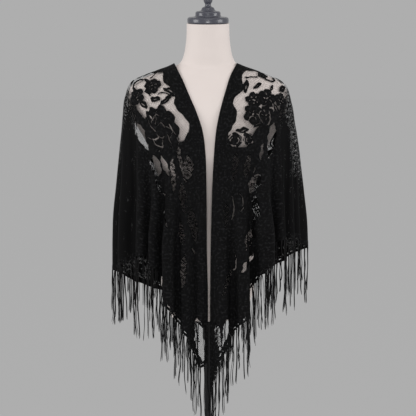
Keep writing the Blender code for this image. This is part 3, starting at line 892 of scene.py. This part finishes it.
def laid_on(cloth, from_middle, drop):
    """Each point's place right of and above the one that is seen here from the front, or far off
    where it isn't near it on the cloth. Places stray a little, so that no outline is even."""
    off_x = cloth.points[..., 0] - from_middle * CM
    off_drop = cloth.drop - drop * CM
    strays = [wandering(cloth.across, cloth.drop, from_middle + turn) for turn in (0.0, 2.0)]
    if drop * CM > FLAT_TO:
        return np.where(cloth.faces_front, off_x + strays[0], FAR), strays[1] - off_drop
    far = np.hypot(off_x, off_drop) + NEARER * cloth.points[..., 1]
    middle = np.unravel_index(np.where(cloth.faces_front, far, FAR).argmin(), far.shape)
    normal = cloth.normal[middle]
    up = np.cross(normal, (1, 0, 0))
    up /= np.linalg.norm(up)
    off = cloth.points - cloth.points[middle]
    near = (cloth.normal @ normal > 0) & (np.abs(off @ normal) < FACING_REACH)
    across = off @ np.cross(up, normal)
    return np.where(near, across + strays[0], FAR), off @ up + strays[1]


def placed(cloth, table):
    """Each row of a table that lies on this half: every point's place in the row's own directions,
    and the row's sizes."""
    for from_middle, drop, turn, *sizes in table:
        if from_middle * cloth.half.way > 0:
            x, y = turned_to(*laid_on(cloth, from_middle, drop), turn)
            yield x, y, sizes


def add_motif(shapes, x, y, kind, size):
    near = np.hypot(x, y) < MOTIF_REACH * size * CM
    for shape, here in zip(shapes, KINDS[kind](x[near], y[near], size * CM)):
        shape[near] = np.maximum(shape[near], here)


def front_motifs(cloth):
    """The motifs of a front: the solid shapes, and what is cut out of them."""
    shapes = np.full((2, *cloth.drop.shape), NOTHING)
    for x, y, (kind, size) in placed(cloth, MOTIFS):
        add_motif(shapes, x, y, kind, size)
    return shapes


def windows(cloth):
    """The windows of a front, and how much of the net in them is thread."""
    found = np.full(cloth.drop.shape, NOTHING)
    cover = np.zeros(cloth.drop.shape)
    for x, y, (half_length, half_width, close) in placed(cloth, WINDOWS):
        here = lens(x, y, half_length * CM, half_width * CM)
        found = np.maximum(found, here)
        cover = np.where(here > -NET_MARGIN, close, cover)
    return found, cover


def back_gap(cloth):
    """The open net of the back that shows through the first window."""
    from_middle, drop, turn, half_length, half_width = BACK_GAP
    x, y = turned_to(cloth.points[..., 0] - from_middle * CM, drop * CM - cloth.drop, turn)
    inside = lens(x, y, half_length * CM, half_width * CM)
    return np.where(cloth.faces_front | (cloth.half.way > 0), NOTHING, inside)


def ladders(cloth):
    """The rungs across some windows."""
    found = np.full(cloth.drop.shape, NOTHING)
    for x, y, (half_length, half_width) in placed(cloth, LADDERS):
        rung = RUNG_WIDTH / 2 - np.abs(np.mod(x, RUNG_PITCH) - RUNG_PITCH / 2)
        inside = lens(x, y, half_length * CM, half_width * CM)
        found = np.maximum(found, np.minimum(rung, inside))
    return found


def light_lines(cloth):
    """The bent light lines through the solid lace."""
    found = np.full(cloth.drop.shape, NOTHING)
    for x, y, (half_length, bend) in placed(cloth, VEINS):
        off = y - bend * CM * (1 - (x / (half_length * CM)) ** 2)
        line = np.minimum(SLIT / 2 - np.abs(off), half_length * CM - np.abs(x))
        found = np.maximum(found, line)
    return found


def repeat_motifs(across, down):
    """The repeat, with each second column half a repeat lower."""
    column = np.round(across / REPEAT_ACROSS)
    shapes = np.full((2, *across.shape), NOTHING)
    for side in (-1, 0, 1):
        here = column + side
        x = across - here * REPEAT_ACROSS
        lower = np.where(here % 2 == 0, 0.0, REPEAT_DOWN / 2)
        row = np.round((down - lower) / REPEAT_DOWN)
        for beside in (-1, 0, 1):
            y = lower + (row + beside) * REPEAT_DOWN - down
            flip = np.where((here + row + beside) % 2 == 0, 1.0, -1.0)
            for motif_x, motif_y, turn, kind, size in REPEAT_MOTIFS:
                place = turned_to(x * flip - motif_x * CM, y - motif_y * CM, turn)
                add_motif(shapes, *place, kind, size)
    solid, cut = shapes
    return np.minimum(solid, -cut)


def side_strip(cloth, side, from_middle):
    """How far each point is in the sheer strip along the side, from 0 to 1."""
    sheer_from = Smooth(SHEER_FROM)(cloth.drop / CM)[..., side]
    strip = ease((from_middle - sheer_from) / SHEER_SIDE_BLEND)
    strip = strip * ease((cloth.drop - SHEER_TOP) / SHEER_TOP_BLEND)
    return strip * ease((SHEER_TO[side] - cloth.drop) / SHEER_END_BLEND)


def back_net(cloth):
    """How much of the back's net is thread."""
    lower = ease((cloth.drop - BACK_LOW_FROM) / BACK_LOW_BLEND)
    beside = ease((BESIDE_TO_FOLD - cloth.fold) / BESIDE_BLEND) * lower
    return blend(blend(BACK_COVER, BACK_LOW_COVER, lower), BESIDE_COVER, beside)


def draw_pattern(cloth):
    """How far inside the solid lace each point of a half is, and how much of its net is thread."""
    side = 0 if cloth.half.way < 0 else 1
    from_middle = np.abs(cloth.points[..., 0]) / CM
    below = cloth.drop - Smooth(PANEL_TOP)(from_middle)[..., side] * CM
    opened, window_cover = windows(cloth)
    solid, cut = front_motifs(cloth)
    cut = np.maximum(cut, light_lines(cloth))
    gap = back_gap(cloth)
    dashes = np.cos(2 * np.pi * cloth.across / HEM_DASH) > HEM_DASH_FROM
    hem_line = np.where(dashes, HEM_SLIT / 2 - np.abs(cloth.from_hem - HEM_LINE), NOTHING)

    panel = np.minimum(below, (PANEL_TO_FOLD[side] - cloth.fold) * PANEL_FOLD_WIDTH)
    panel = np.maximum(np.minimum(panel, -opened), ladders(cloth))
    front = np.where(cloth.fold < SEAM_FOLD, np.maximum(panel, solid), NOTHING)
    back = repeat_motifs(cloth.from_back * cloth.half.way, cloth.down - REPEAT_FROM)
    back = np.minimum(back, (cloth.fold - BACK_FROM_FOLD) * BACK_FOLD_WIDTH)
    field = np.minimum(np.maximum(front, back), -gap)
    field = np.minimum(np.maximum(field, cloth.in_border), -cut)
    field = np.minimum(np.maximum(field, HEM_BAND - cloth.from_hem), -hem_line)

    cover = np.where(below > 0, CLOSE_COVER, CHEST_COVER)
    cover = blend(cover, SHEER_COVER, side_strip(cloth, side, from_middle))
    cover = np.where(cut > -NET_MARGIN, LINE_COVER, cover)
    cover = np.where(opened > -NET_MARGIN, window_cover, cover)
    cover = blend(cover, back_net(cloth), ease((cloth.fold - BACK_FROM_FOLD) / BACK_BLEND))
    cover = np.where(gap > 0, BACK_GAP_COVER, cover)
    return field, np.where(hem_line > -HEM_LINE_MARGIN, HEM_LINE_COVER, cover)


# ---------------------------------------------------------------- making meshes


def add_mesh(name, points, faces, material, uv=None, smooth=True):
    """A mesh object from arrays. Faces is a list of arrays of corners, one array for each count of
    corners, and uv is a list of matching arrays of coordinates."""
    mesh = bpy.data.meshes.new(name)
    corners = np.concatenate([group.ravel() for group in faces]).astype(np.int32)
    counts = np.concatenate([np.full(len(group), group.shape[1]) for group in faces])
    mesh.vertices.add(len(points))
    mesh.vertices.foreach_set("co", np.asarray(points, np.float32).ravel())
    mesh.loops.add(len(corners))
    mesh.loops.foreach_set("vertex_index", corners)
    mesh.polygons.add(len(counts))
    mesh.polygons.foreach_set("loop_start", (np.cumsum(counts) - counts).astype(np.int32))
    if uv is not None:
        layer = mesh.uv_layers.new(name="cloth")
        flat = np.concatenate([group.reshape(-1, 2) for group in uv])
        layer.data.foreach_set("uv", flat.astype(np.float32).ravel())
    mesh.materials.append(material)
    mesh.update(calc_edges=True)
    mesh.validate()
    if smooth:
        mesh.shade_smooth()
    made = bpy.data.objects.new(name, mesh)
    bpy.context.scene.collection.objects.link(made)
    return made


def cut_out(field):
    """Marching squares. Gives the polygons of a grid's part where the field is above 0, by their
    count of corners, and for each point used its two grid points and the part of the way."""
    columns, rows = field.shape
    index = np.arange(columns * rows).reshape(columns, rows)
    flat = field.ravel()
    cells = [index[:-1, :-1], index[1:, :-1], index[1:, 1:], index[:-1, 1:]]
    cells = np.stack([cell.ravel() for cell in cells], axis=1)
    inside = flat[cells] > 0
    case = inside @ np.array([1, 2, 4, 8])
    shapes = {}
    for number in range(1, 16):
        chosen = cells[case == number]
        if not len(chosen):
            continue
        ring = []
        for corner in range(4):
            after = (corner + 1) % 4
            here_in, after_in = number >> corner & 1, number >> after & 1
            if here_in:
                ring.append(np.stack([chosen[:, corner], chosen[:, corner]], axis=1))
            if here_in != after_in:
                ring.append(np.stack([chosen[:, corner], chosen[:, after]], axis=1))
        ring = np.stack(ring, axis=1)
        shapes.setdefault(ring.shape[1], []).append(ring)
    rings = [np.concatenate(group) for _, group in sorted(shapes.items())]
    pairs = np.concatenate([ring.reshape(-1, 2) for ring in rings])
    pairs.sort(axis=1)
    used, inverse = np.unique(pairs[:, 0] * len(flat) + pairs[:, 1], return_inverse=True)
    first, second = used // len(flat), used % len(flat)
    drop = flat[first] - flat[second]
    part = np.where(first == second, 0.0, flat[first] / np.where(drop == 0, 1, drop))
    polygons, start = [], 0
    for ring in rings:
        count = ring.shape[0] * ring.shape[1]
        polygons.append(inverse[start : start + count].reshape(ring.shape[:2]))
        start += count
    part = np.clip(part, SHORTEST_CUT, 1 - SHORTEST_CUT) * (first != second)
    return polygons, first, second, part


def open_edges(polygons):
    """The directed edges that only one polygon has."""
    starts = np.concatenate([group.ravel() for group in polygons])
    ends = np.concatenate([np.roll(group, -1, axis=1).ravel() for group in polygons])
    size = starts.max() + 1
    forward, backward = starts * size + ends, ends * size + starts
    alone = ~np.isin(forward, backward)
    return starts[alone], ends[alone]


def lace_shell(name, points, normals, uv, field, material, flip):
    """A shell of the lace's thickness where the field is above 0, with a raised outline."""
    polygons, first, second, part = cut_out(field)

    def read(values):
        flat = values.reshape(field.size, -1)
        return flat[first] * (1 - part[:, None]) + flat[second] * part[:, None]

    middle, normal = read(points), read(normals)
    depth = read(np.clip(field, 0, FAR))[:, 0]
    rise = CORD_RISE * np.exp(-(((depth - CORD_IN) / CORD_IN) ** 2))
    outer = middle + normal * (LACE_THICKNESS / 2 + rise[:, None])
    inner = middle - normal * LACE_THICKNESS / 2
    count = len(middle)
    coordinates = read(uv)
    if flip:
        polygons = [group[:, ::-1] for group in polygons]
    starts, ends = open_edges(polygons)
    rim = np.stack([ends, starts, starts + count, ends + count], axis=1)
    faces = polygons + [group[:, ::-1] + count for group in polygons] + [rim]
    two = np.concatenate([coordinates, coordinates])
    made = add_mesh(
        name,
        np.concatenate([outer, inner]),
        faces,
        material,
        uv=[two[group] for group in faces],
    )
    made.data.set_sharp_from_angle(angle=LACE_SHARP)
    return made


# ---------------------------------------------------------------- materials


class Shader:
    """A material's node tree, with short calls to add nodes and join them."""

    def __init__(self, name):
        self.material = bpy.data.materials.new(name)
        self.material.use_nodes = True
        self.tree = self.material.node_tree
        self.surface = self.tree.nodes["Principled BSDF"]

    def put(self, socket, value):
        if isinstance(value, bpy.types.NodeSocket):
            self.tree.links.new(value, socket)
        else:
            socket.default_value = value

    def set(self, **inputs):
        for name, value in inputs.items():
            self.put(self.surface.inputs[name.replace("_", " ")], value)

    def node(self, kind, *values, output=0, **settings):
        """A new node with these values in its first sockets. Gives one of its outputs."""
        made = self.tree.nodes.new("ShaderNode" + kind)
        for name, value in settings.items():
            setattr(made, name, value)
        for socket, value in zip(made.inputs, values):
            self.put(socket, value)
        return made.outputs[output]

    def math(self, operation, *values):
        return self.node("Math", *values, operation=operation)

    def vector(self, operation, *values):
        return self.node("VectorMath", *values, operation=operation)

    def uv(self):
        return self.node("UVMap", uv_map="cloth")

    def position(self):
        return self.node("TexCoord", output="Object")

    def noise(self, vector, scale, detail=2.0, roughness=0.5, output=0):
        return self.node("TexNoise", vector, 0.0, scale, detail, roughness, output=output)

    def ramp(self, value, low, high, to_low=0.0, to_high=1.0):
        return self.node("MapRange", value, low, high, to_low, to_high)

    def mix(self, part, one, other):
        made = self.node("Mix", part, data_type="RGBA").node
        for socket, colour in zip((made.inputs[6], made.inputs[7]), (one, other)):
            self.put(socket, colour if isinstance(colour, bpy.types.NodeSocket) else (*colour, 1))
        return made.outputs[2]

    def bump(self, height, distance, strength=1.0):
        made = self.node("Bump", strength, distance).node
        self.put(made.inputs["Height"], height)
        self.put(self.surface.inputs["Normal"], made.outputs[0])

    def split(self, vector):
        """The first two parts of a vector."""
        first = self.node("SeparateXYZ", vector)
        return first, first.node.outputs[1]

    def stripes(self, value, pitch):
        """A wave from 0 to 1 along a coordinate."""
        wave = self.math("SINE", self.math("MULTIPLY", value, 2 * math.pi / pitch))
        return self.math("MULTIPLY_ADD", wave, 0.5, 0.5)


def lace_material():
    """Close bobbin lace: rows of small loops, with fuller and thinner patches."""
    shader = Shader("black_lace")
    across, down = shader.split(shader.uv())
    rungs = shader.stripes(down, 2.6 * MM)
    wales = shader.stripes(across, 3.4 * MM)
    knit = shader.math("MULTIPLY", rungs, wales)
    patches = shader.noise(shader.uv(), scale=38, detail=3)
    height = shader.math("ADD", knit, shader.math("MULTIPLY", patches, 0.6))
    shader.bump(height, 0.5 * MM, 0.9)
    # painted shade: the colour is darker where the knit's bump is low, in the hollows between its
    # loops; the patches add random tone
    shade = shader.ramp(shader.math("MULTIPLY_ADD", knit, 0.5, patches), 0.3, 1.1)
    # painted highlight: scattered light specks in the colour stand in for glints off the yarn
    painted_glints = shader.ramp(shader.noise(shader.uv(), scale=190, detail=1), 0.52, 0.74)
    plain = shader.mix(shade, (0.0010, 0.0010, 0.0012), (0.0048, 0.0048, 0.0052))
    colour = shader.mix(painted_glints, plain, (0.017, 0.017, 0.018))
    shader.set(Base_Color=colour, Roughness=0.85, Specular_IOR_Level=0.12)
    return shader.material


def net_material():
    """A diamond net: two sets of slanting threads, with open holes between them. The mesh says how
    much of the net is thread at each point. Where it is close, it is uneven."""
    shader = Shader("black_net")
    vector = shader.uv()
    wobble = shader.noise(vector, scale=120, detail=1, output="Color")
    moved = shader.vector("MULTIPLY_ADD", wobble, (NET_WOBBLE, NET_WOBBLE, 0), vector)
    across, down = shader.split(moved)
    slant = shader.math("MULTIPLY", down, NET_SLANT)
    sets = []
    for operation in ("ADD", "SUBTRACT"):
        slanting = shader.math(operation, across, slant)
        place = shader.math("FRACT", shader.math("MULTIPLY", slanting, 1 / NET_ACROSS))
        sets.append(shader.math("ABSOLUTE", shader.math("SUBTRACT", place, 0.5)))
    nearest = shader.math("MINIMUM", *sets)
    cover = shader.node("Attribute", output="Fac", attribute_name="cover")
    patches = shader.ramp(shader.noise(vector, scale=170, detail=1), 0.40, 0.64, 0.1, 2.1)
    uneven = shader.ramp(cover, 0.3, 0.6)
    factor = shader.math("MULTIPLY_ADD", shader.math("SUBTRACT", patches, 1.0), uneven, 1.0)
    open_part = shader.math("MULTIPLY", shader.math("SUBTRACT", 1.0, cover), factor)
    hole = shader.math("SQRT", shader.math("MINIMUM", open_part, MOST_OPEN))
    half_thread = shader.math("MULTIPLY_ADD", hole, -0.5, 0.5)
    shader.set(
        Base_Color=(0.0026, 0.0026, 0.0028, 1),
        Roughness=0.85,
        Specular_IOR_Level=0.1,
        Alpha=shader.math("LESS_THAN", nearest, half_thread),
    )
    return shader.material


def yarn_material():
    shader = Shader("fringe_yarn")
    fibres = shader.noise(shader.position(), scale=420, detail=2)
    colour = shader.mix(fibres, (0.0016, 0.0016, 0.0018), (0.0060, 0.0060, 0.0065))
    shader.set(Base_Color=colour, Roughness=0.7, Specular_IOR_Level=0.2)
    shader.bump(fibres, 0.2 * MM, 0.6)
    return shader.material


def jersey_material():
    shader = Shader("cream_jersey")
    stretched = shader.vector("MULTIPLY", shader.position(), (1.0, 1.0, 1.9))
    knit = shader.noise(stretched, scale=900, detail=1)
    cloud = shader.noise(shader.position(), scale=9, detail=3)
    shader.set(
        Base_Color=shader.mix(cloud, (0.80, 0.715, 0.675), (0.86, 0.775, 0.735)),
        Roughness=0.86,
        Specular_IOR_Level=0.25,
        Sheen_Weight=0.15,
        Sheen_Roughness=0.5,
    )
    shader.bump(knit, 0.25 * MM, 0.5)
    return shader.material


def wood_material():
    shader = Shader("black_wood")
    stretched = shader.vector("MULTIPLY", shader.position(), (1.0, 9.0, 9.0))
    lines = shader.noise(stretched, scale=26, detail=5, roughness=0.6)
    shader.set(
        Base_Color=shader.mix(lines, (0.044, 0.045, 0.060), (0.078, 0.080, 0.104)),
        Roughness=shader.ramp(lines, 0.2, 0.8, 0.24, 0.40),
        Coat_Weight=0.6,
        Coat_Roughness=0.16,
    )
    shader.bump(lines, 0.15 * MM, 0.3)
    return shader.material


def metal_material():
    shader = Shader("black_metal")
    wear = shader.noise(shader.position(), scale=14, detail=4)
    shader.set(
        Base_Color=shader.mix(wear, (0.003, 0.003, 0.0035), (0.007, 0.007, 0.008)),
        Roughness=shader.ramp(wear, 0.3, 0.7, 0.38, 0.5),
        Specular_IOR_Level=0.25,
    )
    shader.bump(shader.noise(shader.position(), scale=700, detail=2), 0.06 * MM, 0.4)
    return shader.material


def backdrop_material():
    """A floor that is as light as the backdrop, with a faint shadow."""
    shader = Shader("studio_grey")
    shader.set(
        Base_Color=(0.03, 0.03, 0.03, 1),
        Roughness=0.9,
        Specular_IOR_Level=0.0,
        Emission_Color=(1, 1, 1, 1),
        Emission_Strength=BACKDROP - FLOOR_LIT,
    )
    return shader.material


# ---------------------------------------------------------------- the form and its stand

FORM_ROWS = 210
FORM_SIDES = 144
CAP_SIDES = 96
SOLID_SHARP = math.radians(50)  # the angle from which an edge is shaded as a sharp one
CAP_ROUNDING = 2.5 * MM
CORNER_SHARE = 0.45  # no corner takes up more than this share of the line on either side
CAP_PROFILE = (
    # height, radius, in centimetres
    (0.0, 0.0),
    (0.0, 4.75),
    (0.25, 5.0),
    (1.15, 5.0),
    (1.5, 4.7),
    (1.65, 3.3),
    (1.9, 3.05),
    (2.6, 3.05),
    (2.9, 2.8),
    (3.05, 1.9),
    (3.3, 1.6),
    (3.8, 1.45),
    (4.1, 0.75),
    (4.7, 0.70),
    (5.1, 1.0),
    (5.8, 1.15),
    (6.5, 1.0),
    (7.1, 0.72),
    (7.9, 0.85),
    (8.5, 0.6),
    (8.8, 0.02),
)


def ring_solid(name, rings, axis, material):
    """A closed solid through level rings of points, from the top down, with flat ends."""
    sides = rings.shape[1]
    ends = [(*axis, ring[0, 2]) for ring in (rings[0], rings[-1])]
    points = np.concatenate([rings.reshape(-1, 3), ends])
    index = np.arange(len(rings) * sides).reshape(len(rings), sides)
    after = np.roll(index, -1, axis=1)
    quads = np.stack([index[:-1], index[1:], after[1:], after[:-1]], axis=-1).reshape(-1, 4)
    top = np.stack([index[0], after[0], np.full(sides, len(points) - 2)], axis=1)
    bottom = np.stack([after[-1], index[-1], np.full(sides, len(points) - 1)], axis=1)
    made = add_mesh(name, points, [quads, top, bottom], material)
    made.data.set_sharp_from_angle(angle=SOLID_SHARP)
    return made


def neck_cap(material):
    """The cap, turned from its profile."""
    low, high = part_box("neck_cap")
    axis = ((low.x + high.x) / 2, (low.y + high.y) / 2)
    profile = rounded([(height * CM, radius * CM) for height, radius in CAP_PROFILE], CAP_ROUNDING)
    heights, radii = np.array(profile)[::-1, :, None].transpose(1, 0, 2)
    angles = np.linspace(0, 2 * np.pi, CAP_SIDES, endpoint=False)
    x, y = axis[0] + radii * np.cos(angles), axis[1] + radii * np.sin(angles)
    z = np.broadcast_to(low.z + heights, x.shape)
    return ring_solid("neck_cap_turned", np.stack([x, y, z], axis=-1), axis, material)


def rounded(profile, radius, steps=4):
    """A profile with its corners rounded by up to this radius."""
    points = [np.array(row, float) for row in profile]
    found = [points[0]]
    for before, here, after in zip(points, points[1:], points[2:]):
        back, ahead = before - here, after - here
        sides = CORNER_SHARE * np.linalg.norm(back), CORNER_SHARE * np.linalg.norm(ahead)
        reach = min(radius, *sides)
        start = here + back / np.linalg.norm(back) * reach
        end = here + ahead / np.linalg.norm(ahead) * reach
        for t in np.linspace(0, 1, steps + 1):
            found.append(start * (1 - t) ** 2 + 2 * here * t * (1 - t) + end * t * t)
    found.append(points[-1])
    return found


def dress_form(material):
    drops = np.linspace(FORM_SECTIONS[0][0], FORM_SECTIONS[-1][0], FORM_ROWS)
    sizes = Smooth(FORM_SECTIONS)(drops)
    angles = np.linspace(0, 2 * np.pi, FORM_SIDES, endpoint=False)
    measures = [sizes[:, number, None] * CM for number in range(3)]
    x, y = oval(angles, *measures, sizes[:, 3:])
    z = np.broadcast_to(SHOULDER_HEIGHT - drops[:, None] * CM, x.shape)
    return ring_solid("dress_form_cover", np.stack([x, y, z], axis=-1), (0, 0), material)


# ---------------------------------------------------------------- the shawl's pieces


def front_uv(cloth):
    return np.stack([cloth.across * -cloth.half.way, -cloth.drop], axis=-1)


def back_uv(cloth):
    return np.stack([cloth.from_back * cloth.half.way, -cloth.down], axis=-1)


def lace_fronts(left, right, material):
    """The lace shells of the two fronts."""
    shells = []
    for cloth, name in ((left, "lace_left_front"), (right, "lace_right_front")):
        arrays = (cloth.points, cloth.normal, front_uv(cloth), cloth.field)
        part = [values[: cloth.seam + 1] for values in arrays]
        shells.append(lace_shell(name, *part, material, flip=cloth.half.way < 0))
    return shells


def every_second(count, *kept):
    """Every second number below a count, with the last and the ones to be kept."""
    return np.unique(np.concatenate([np.arange(0, count, 2), [count - 1], kept]).astype(int))


def both_halves(left, right, columns_of):
    """A function that reads both halves as one grid, round from the left to the right, on every
    second row. The middle of the back is in it once."""
    rows = every_second(Cloth.ROWS)
    chosen = (left, columns_of(left)), (right, columns_of(right)[-2::-1])

    def joined(read):
        return np.concatenate([read(cloth)[columns][:, rows] for cloth, columns in chosen])

    return joined


def lace_back(left, right, material):
    """The lace shell of the back, from one seam round to the other."""
    joined = both_halves(left, right, lambda c: np.arange(c.seam, len(c.folds)))
    arrays = (lambda c: c.points, lambda c: c.normal, back_uv, lambda c: c.field)
    return lace_shell("lace_back", *(joined(read) for read in arrays), material, flip=True)


def net_sheet(left, right, material):
    """One sheet of net with the whole outline of the shawl, on every second point of the grids."""
    joined = both_halves(left, right, lambda c: every_second(len(c.folds), c.seam))
    points = joined(lambda c: c.points)
    index = np.arange(points.shape[0] * points.shape[1]).reshape(points.shape[:2])
    corners = (index[:-1, :-1], index[1:, :-1], index[1:, 1:], index[:-1, 1:])
    faces = np.stack([corner.ravel() for corner in corners], axis=1)[:, ::-1]
    fold = joined(lambda c: c.fold).ravel()[faces].mean(axis=1)
    front, back = (joined(read).reshape(-1, 2)[faces] for read in (front_uv, back_uv))
    uv = np.where(fold[:, None, None] > SEAM_FOLD, back, front)
    made = add_mesh("shawl_net", points.reshape(-1, 3), [faces], material, uv=[uv])
    cover = made.data.attributes.new("cover", "FLOAT", "POINT")
    cover.data.foreach_set("value", joined(lambda c: c.cover).astype(np.float32).ravel())
    return made


def knots(half, first, last):
    """Where the knots lie along a stretch of the hem, and which way the hem runs there."""
    folds = np.linspace(first, last, FINE)
    line = half.point(half.hem_drop(folds), folds)
    length = running(line, 0)
    count = int(length[-1] / KNOT_PITCH[0 if first < SEAM_FOLD else 1])
    at = (np.arange(count) + 0.5 + rng.uniform(-KNOT_STRAYS, KNOT_STRAYS, count)) * length[-1] / count
    roots, ahead = (
        np.stack([np.interp(place, length, line[:, axis]) for axis in range(3)], axis=1)
        for place in (at, at + 2 * MM)
    )
    way = ahead - roots
    way[:, 2] = 0
    way /= np.maximum(np.linalg.norm(way, axis=1, keepdims=True), 1e-9)
    out = np.stack([way[:, 1], -way[:, 0], np.zeros(count)], axis=1) * half.way
    return roots + out * CLOTH_MIDDLE, way


def to_threads(values):
    """A knot's values, for each of its threads."""
    return np.repeat(values, THREADS_A_KNOT, axis=0)


def fringe(name, half, first, last, material):
    """Knots along a stretch of the hem, each with a few threads that hang in a loose clump."""
    roots, way = knots(half, first, last)
    knot, thread = (len(roots), 1), (len(roots) * THREADS_A_KNOT, 1)
    part = np.linspace(0, 1, THREAD_STEPS)[:, None]
    clump = rng.normal(0, CLUMP_DRIFT, (*knot, 2))
    strays = rng.uniform(0, 1, (*thread, 1)) < STRAY_SHARE
    apart = rng.normal(0, 1, (*thread, 2)) * np.where(strays, STRAY_SPREAD, THREAD_SPREAD)
    phase = rng.uniform(0, 2 * np.pi, (*knot, 2))
    waves = rng.uniform(*THREAD_WAVES, (*knot, 1))
    reach = rng.uniform(*WAVE_PARTS, (*knot, 2)) * THREAD_WAVE
    wavy = reach * np.sin(2 * np.pi * waves * part + phase) * np.sqrt(part)
    shortest, longest = LENGTH_PARTS
    lengths = longest - (longest - shortest) * rng.uniform(0, 1, (*knot, 1)) ** 2
    lengths = FRINGE_LENGTH * to_threads(lengths) * rng.uniform(*UNEVEN_ENDS, (*thread, 1))
    beside = np.tile(np.linspace(-1, 1, THREADS_A_KNOT), len(roots))[:, None] * to_threads(way)
    tops = to_threads(roots) + beside * THREAD_RADIUS * BESIDE_IN_KNOT
    lines = np.repeat(tops[:, None, :], THREAD_STEPS, axis=1)
    lines[..., :2] += to_threads(clump) * part**1.2 + apart * np.sqrt(part) + to_threads(wavy)
    lines[..., 2:] -= lengths * part
    return tubes(name, lines, THREAD_RADIUS * np.array(THREAD_TAPER), material)


def tubes(name, lines, radii, material, sides=4):
    """Four-sided threads that hang more or less straight down, as one mesh."""
    angles = np.linspace(0, 2 * np.pi, sides, endpoint=False)
    ring = np.stack([np.cos(angles), np.sin(angles), np.zeros(sides)], axis=-1)
    points = lines[:, :, None, :] + radii[None, :, None, None] * ring
    total, steps = lines.shape[:2]
    index = np.arange(total * steps * sides).reshape(total, steps, sides)
    after = np.roll(index, -1, axis=2)
    quads = np.stack([index[:, :-1], index[:, 1:], after[:, 1:], after[:, :-1]], axis=-1)
    caps = np.concatenate([index[:, 0], index[:, -1, ::-1]])
    return add_mesh(name, points.reshape(-1, 3), [quads.reshape(-1, 4), caps], material)


# ---------------------------------------------------------------- the stage

VIEW_CENTRE = (0, 0, 0.947)
VIEW_DISTANCE = 5.0
VIEW_HEIGHT_ANGLE = 8  # degrees above level
VIEW_SPAN = 1.019  # metres across the picture at the form
SENSOR = 36
BACKDROP = 0.423  # how light the studio is
FLOOR_LIT = 0.018  # the part of it that the lamps give the floor
FLOOR_SIZE = 28
LIGHTS = (
    # name, place, the height that it is aimed at, size, watts
    ("front", (0.0, -4.6, 0.7), 1.10, (1.2, 1.2), 37),
    ("left", (-2.9, -1.0, 1.8), 1.15, (1.6, 1.8), 38),
    ("right", (2.9, -1.0, 1.8), 1.15, (1.6, 1.8), 34),
    ("top", (0.0, -1.2, 3.4), 1.20, (1.6, 1.6), 8),
)


def aimed(name, data, place, target):
    """A camera or a light that looks at a target."""
    made = bpy.data.objects.new(name, data)
    bpy.context.scene.collection.objects.link(made)
    made.location = place
    direction = Vector(target) - made.location
    made.rotation_euler = direction.to_track_quat("-Z", "Y").to_euler()
    return made


def area_light(name, place, aim, size, watts):
    data = bpy.data.lights.new(name, "AREA")
    data.shape = "RECTANGLE"
    data.size, data.size_y = size
    data.energy = watts
    aimed(name, data, place, (0, 0, aim))


def camera():
    data = bpy.data.cameras.new("camera")
    data.sensor_width = SENSOR
    data.lens = SENSOR * VIEW_DISTANCE / VIEW_SPAN
    data.clip_end = 40
    angle = math.radians(VIEW_HEIGHT_ANGLE)
    rise = VIEW_DISTANCE * math.sin(angle)
    place = (0, -VIEW_DISTANCE * math.cos(angle), VIEW_CENTRE[2] + rise)
    bpy.context.scene.camera = aimed("camera", data, place, VIEW_CENTRE)


def stage():
    half = FLOOR_SIZE / 2
    corners = np.array([(-half, -half, 0), (half, -half, 0), (half, half, 0), (-half, half, 0)])
    face = [np.array([[0, 1, 2, 3]])]
    floor = add_mesh("floor", corners, face, backdrop_material(), smooth=False)
    world = bpy.data.worlds.new("studio")
    bpy.context.scene.world = world
    world.use_nodes = True
    background = world.node_tree.nodes["Background"]
    background.inputs["Color"].default_value = (BACKDROP, BACKDROP, BACKDROP, 1)
    background.inputs["Strength"].default_value = 1.0
    for light in LIGHTS:
        area_light(*light)
    bpy.context.scene.view_settings.view_transform = "Standard"


# ---------------------------------------------------------------- the whole thing


def rides(piece, slot, *nodes):
    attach(piece, "root")
    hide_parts(*nodes)


def coat_stand(material):
    """The stand's solids are seen as they are, in this material."""
    for node in ("stand_sleeve", "stand_pole", "stand_base"):
        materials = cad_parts[node].data.materials
        materials.clear()
        materials.append(material)


def hang_fringes(material):
    """The fringe of each stretch of the hem."""
    made = []
    for name, half, first, last in (
        ("left_front", LEFT, 0, SEAM_FOLD),
        ("left_back", LEFT, SEAM_FOLD, LEFT.folds),
        ("right_front", RIGHT, 0, SEAM_FOLD),
        ("right_back", RIGHT, SEAM_FOLD, RIGHT.folds),
    ):
        threads = fringe("threads_" + name, half, first, last, material)
        rides(threads, "fringe_yarn", "fringe_" + name)
        made.append(threads)
    return made


def main():
    rides(dress_form(jersey_material()), "cream_jersey", "dress_form")
    rides(neck_cap(wood_material()), "black_wood", "neck_cap")
    coat_stand(metal_material())
    left, right = Cloth(LEFT), Cloth(RIGHT)
    lace = lace_material()
    shells = [*lace_fronts(left, right, lace), lace_back(left, right, lace)]
    net = net_sheet(left, right, net_material())
    nodes = ("shawl_left_front", "shawl_right_front", "shawl_back")
    for shell, node in zip(shells, nodes):
        rides(shell, "black_lace", node)
    rides(net, "black_lace", *nodes)
    fringes = hang_fringes(yarn_material())
    stage()
    camera()


main()
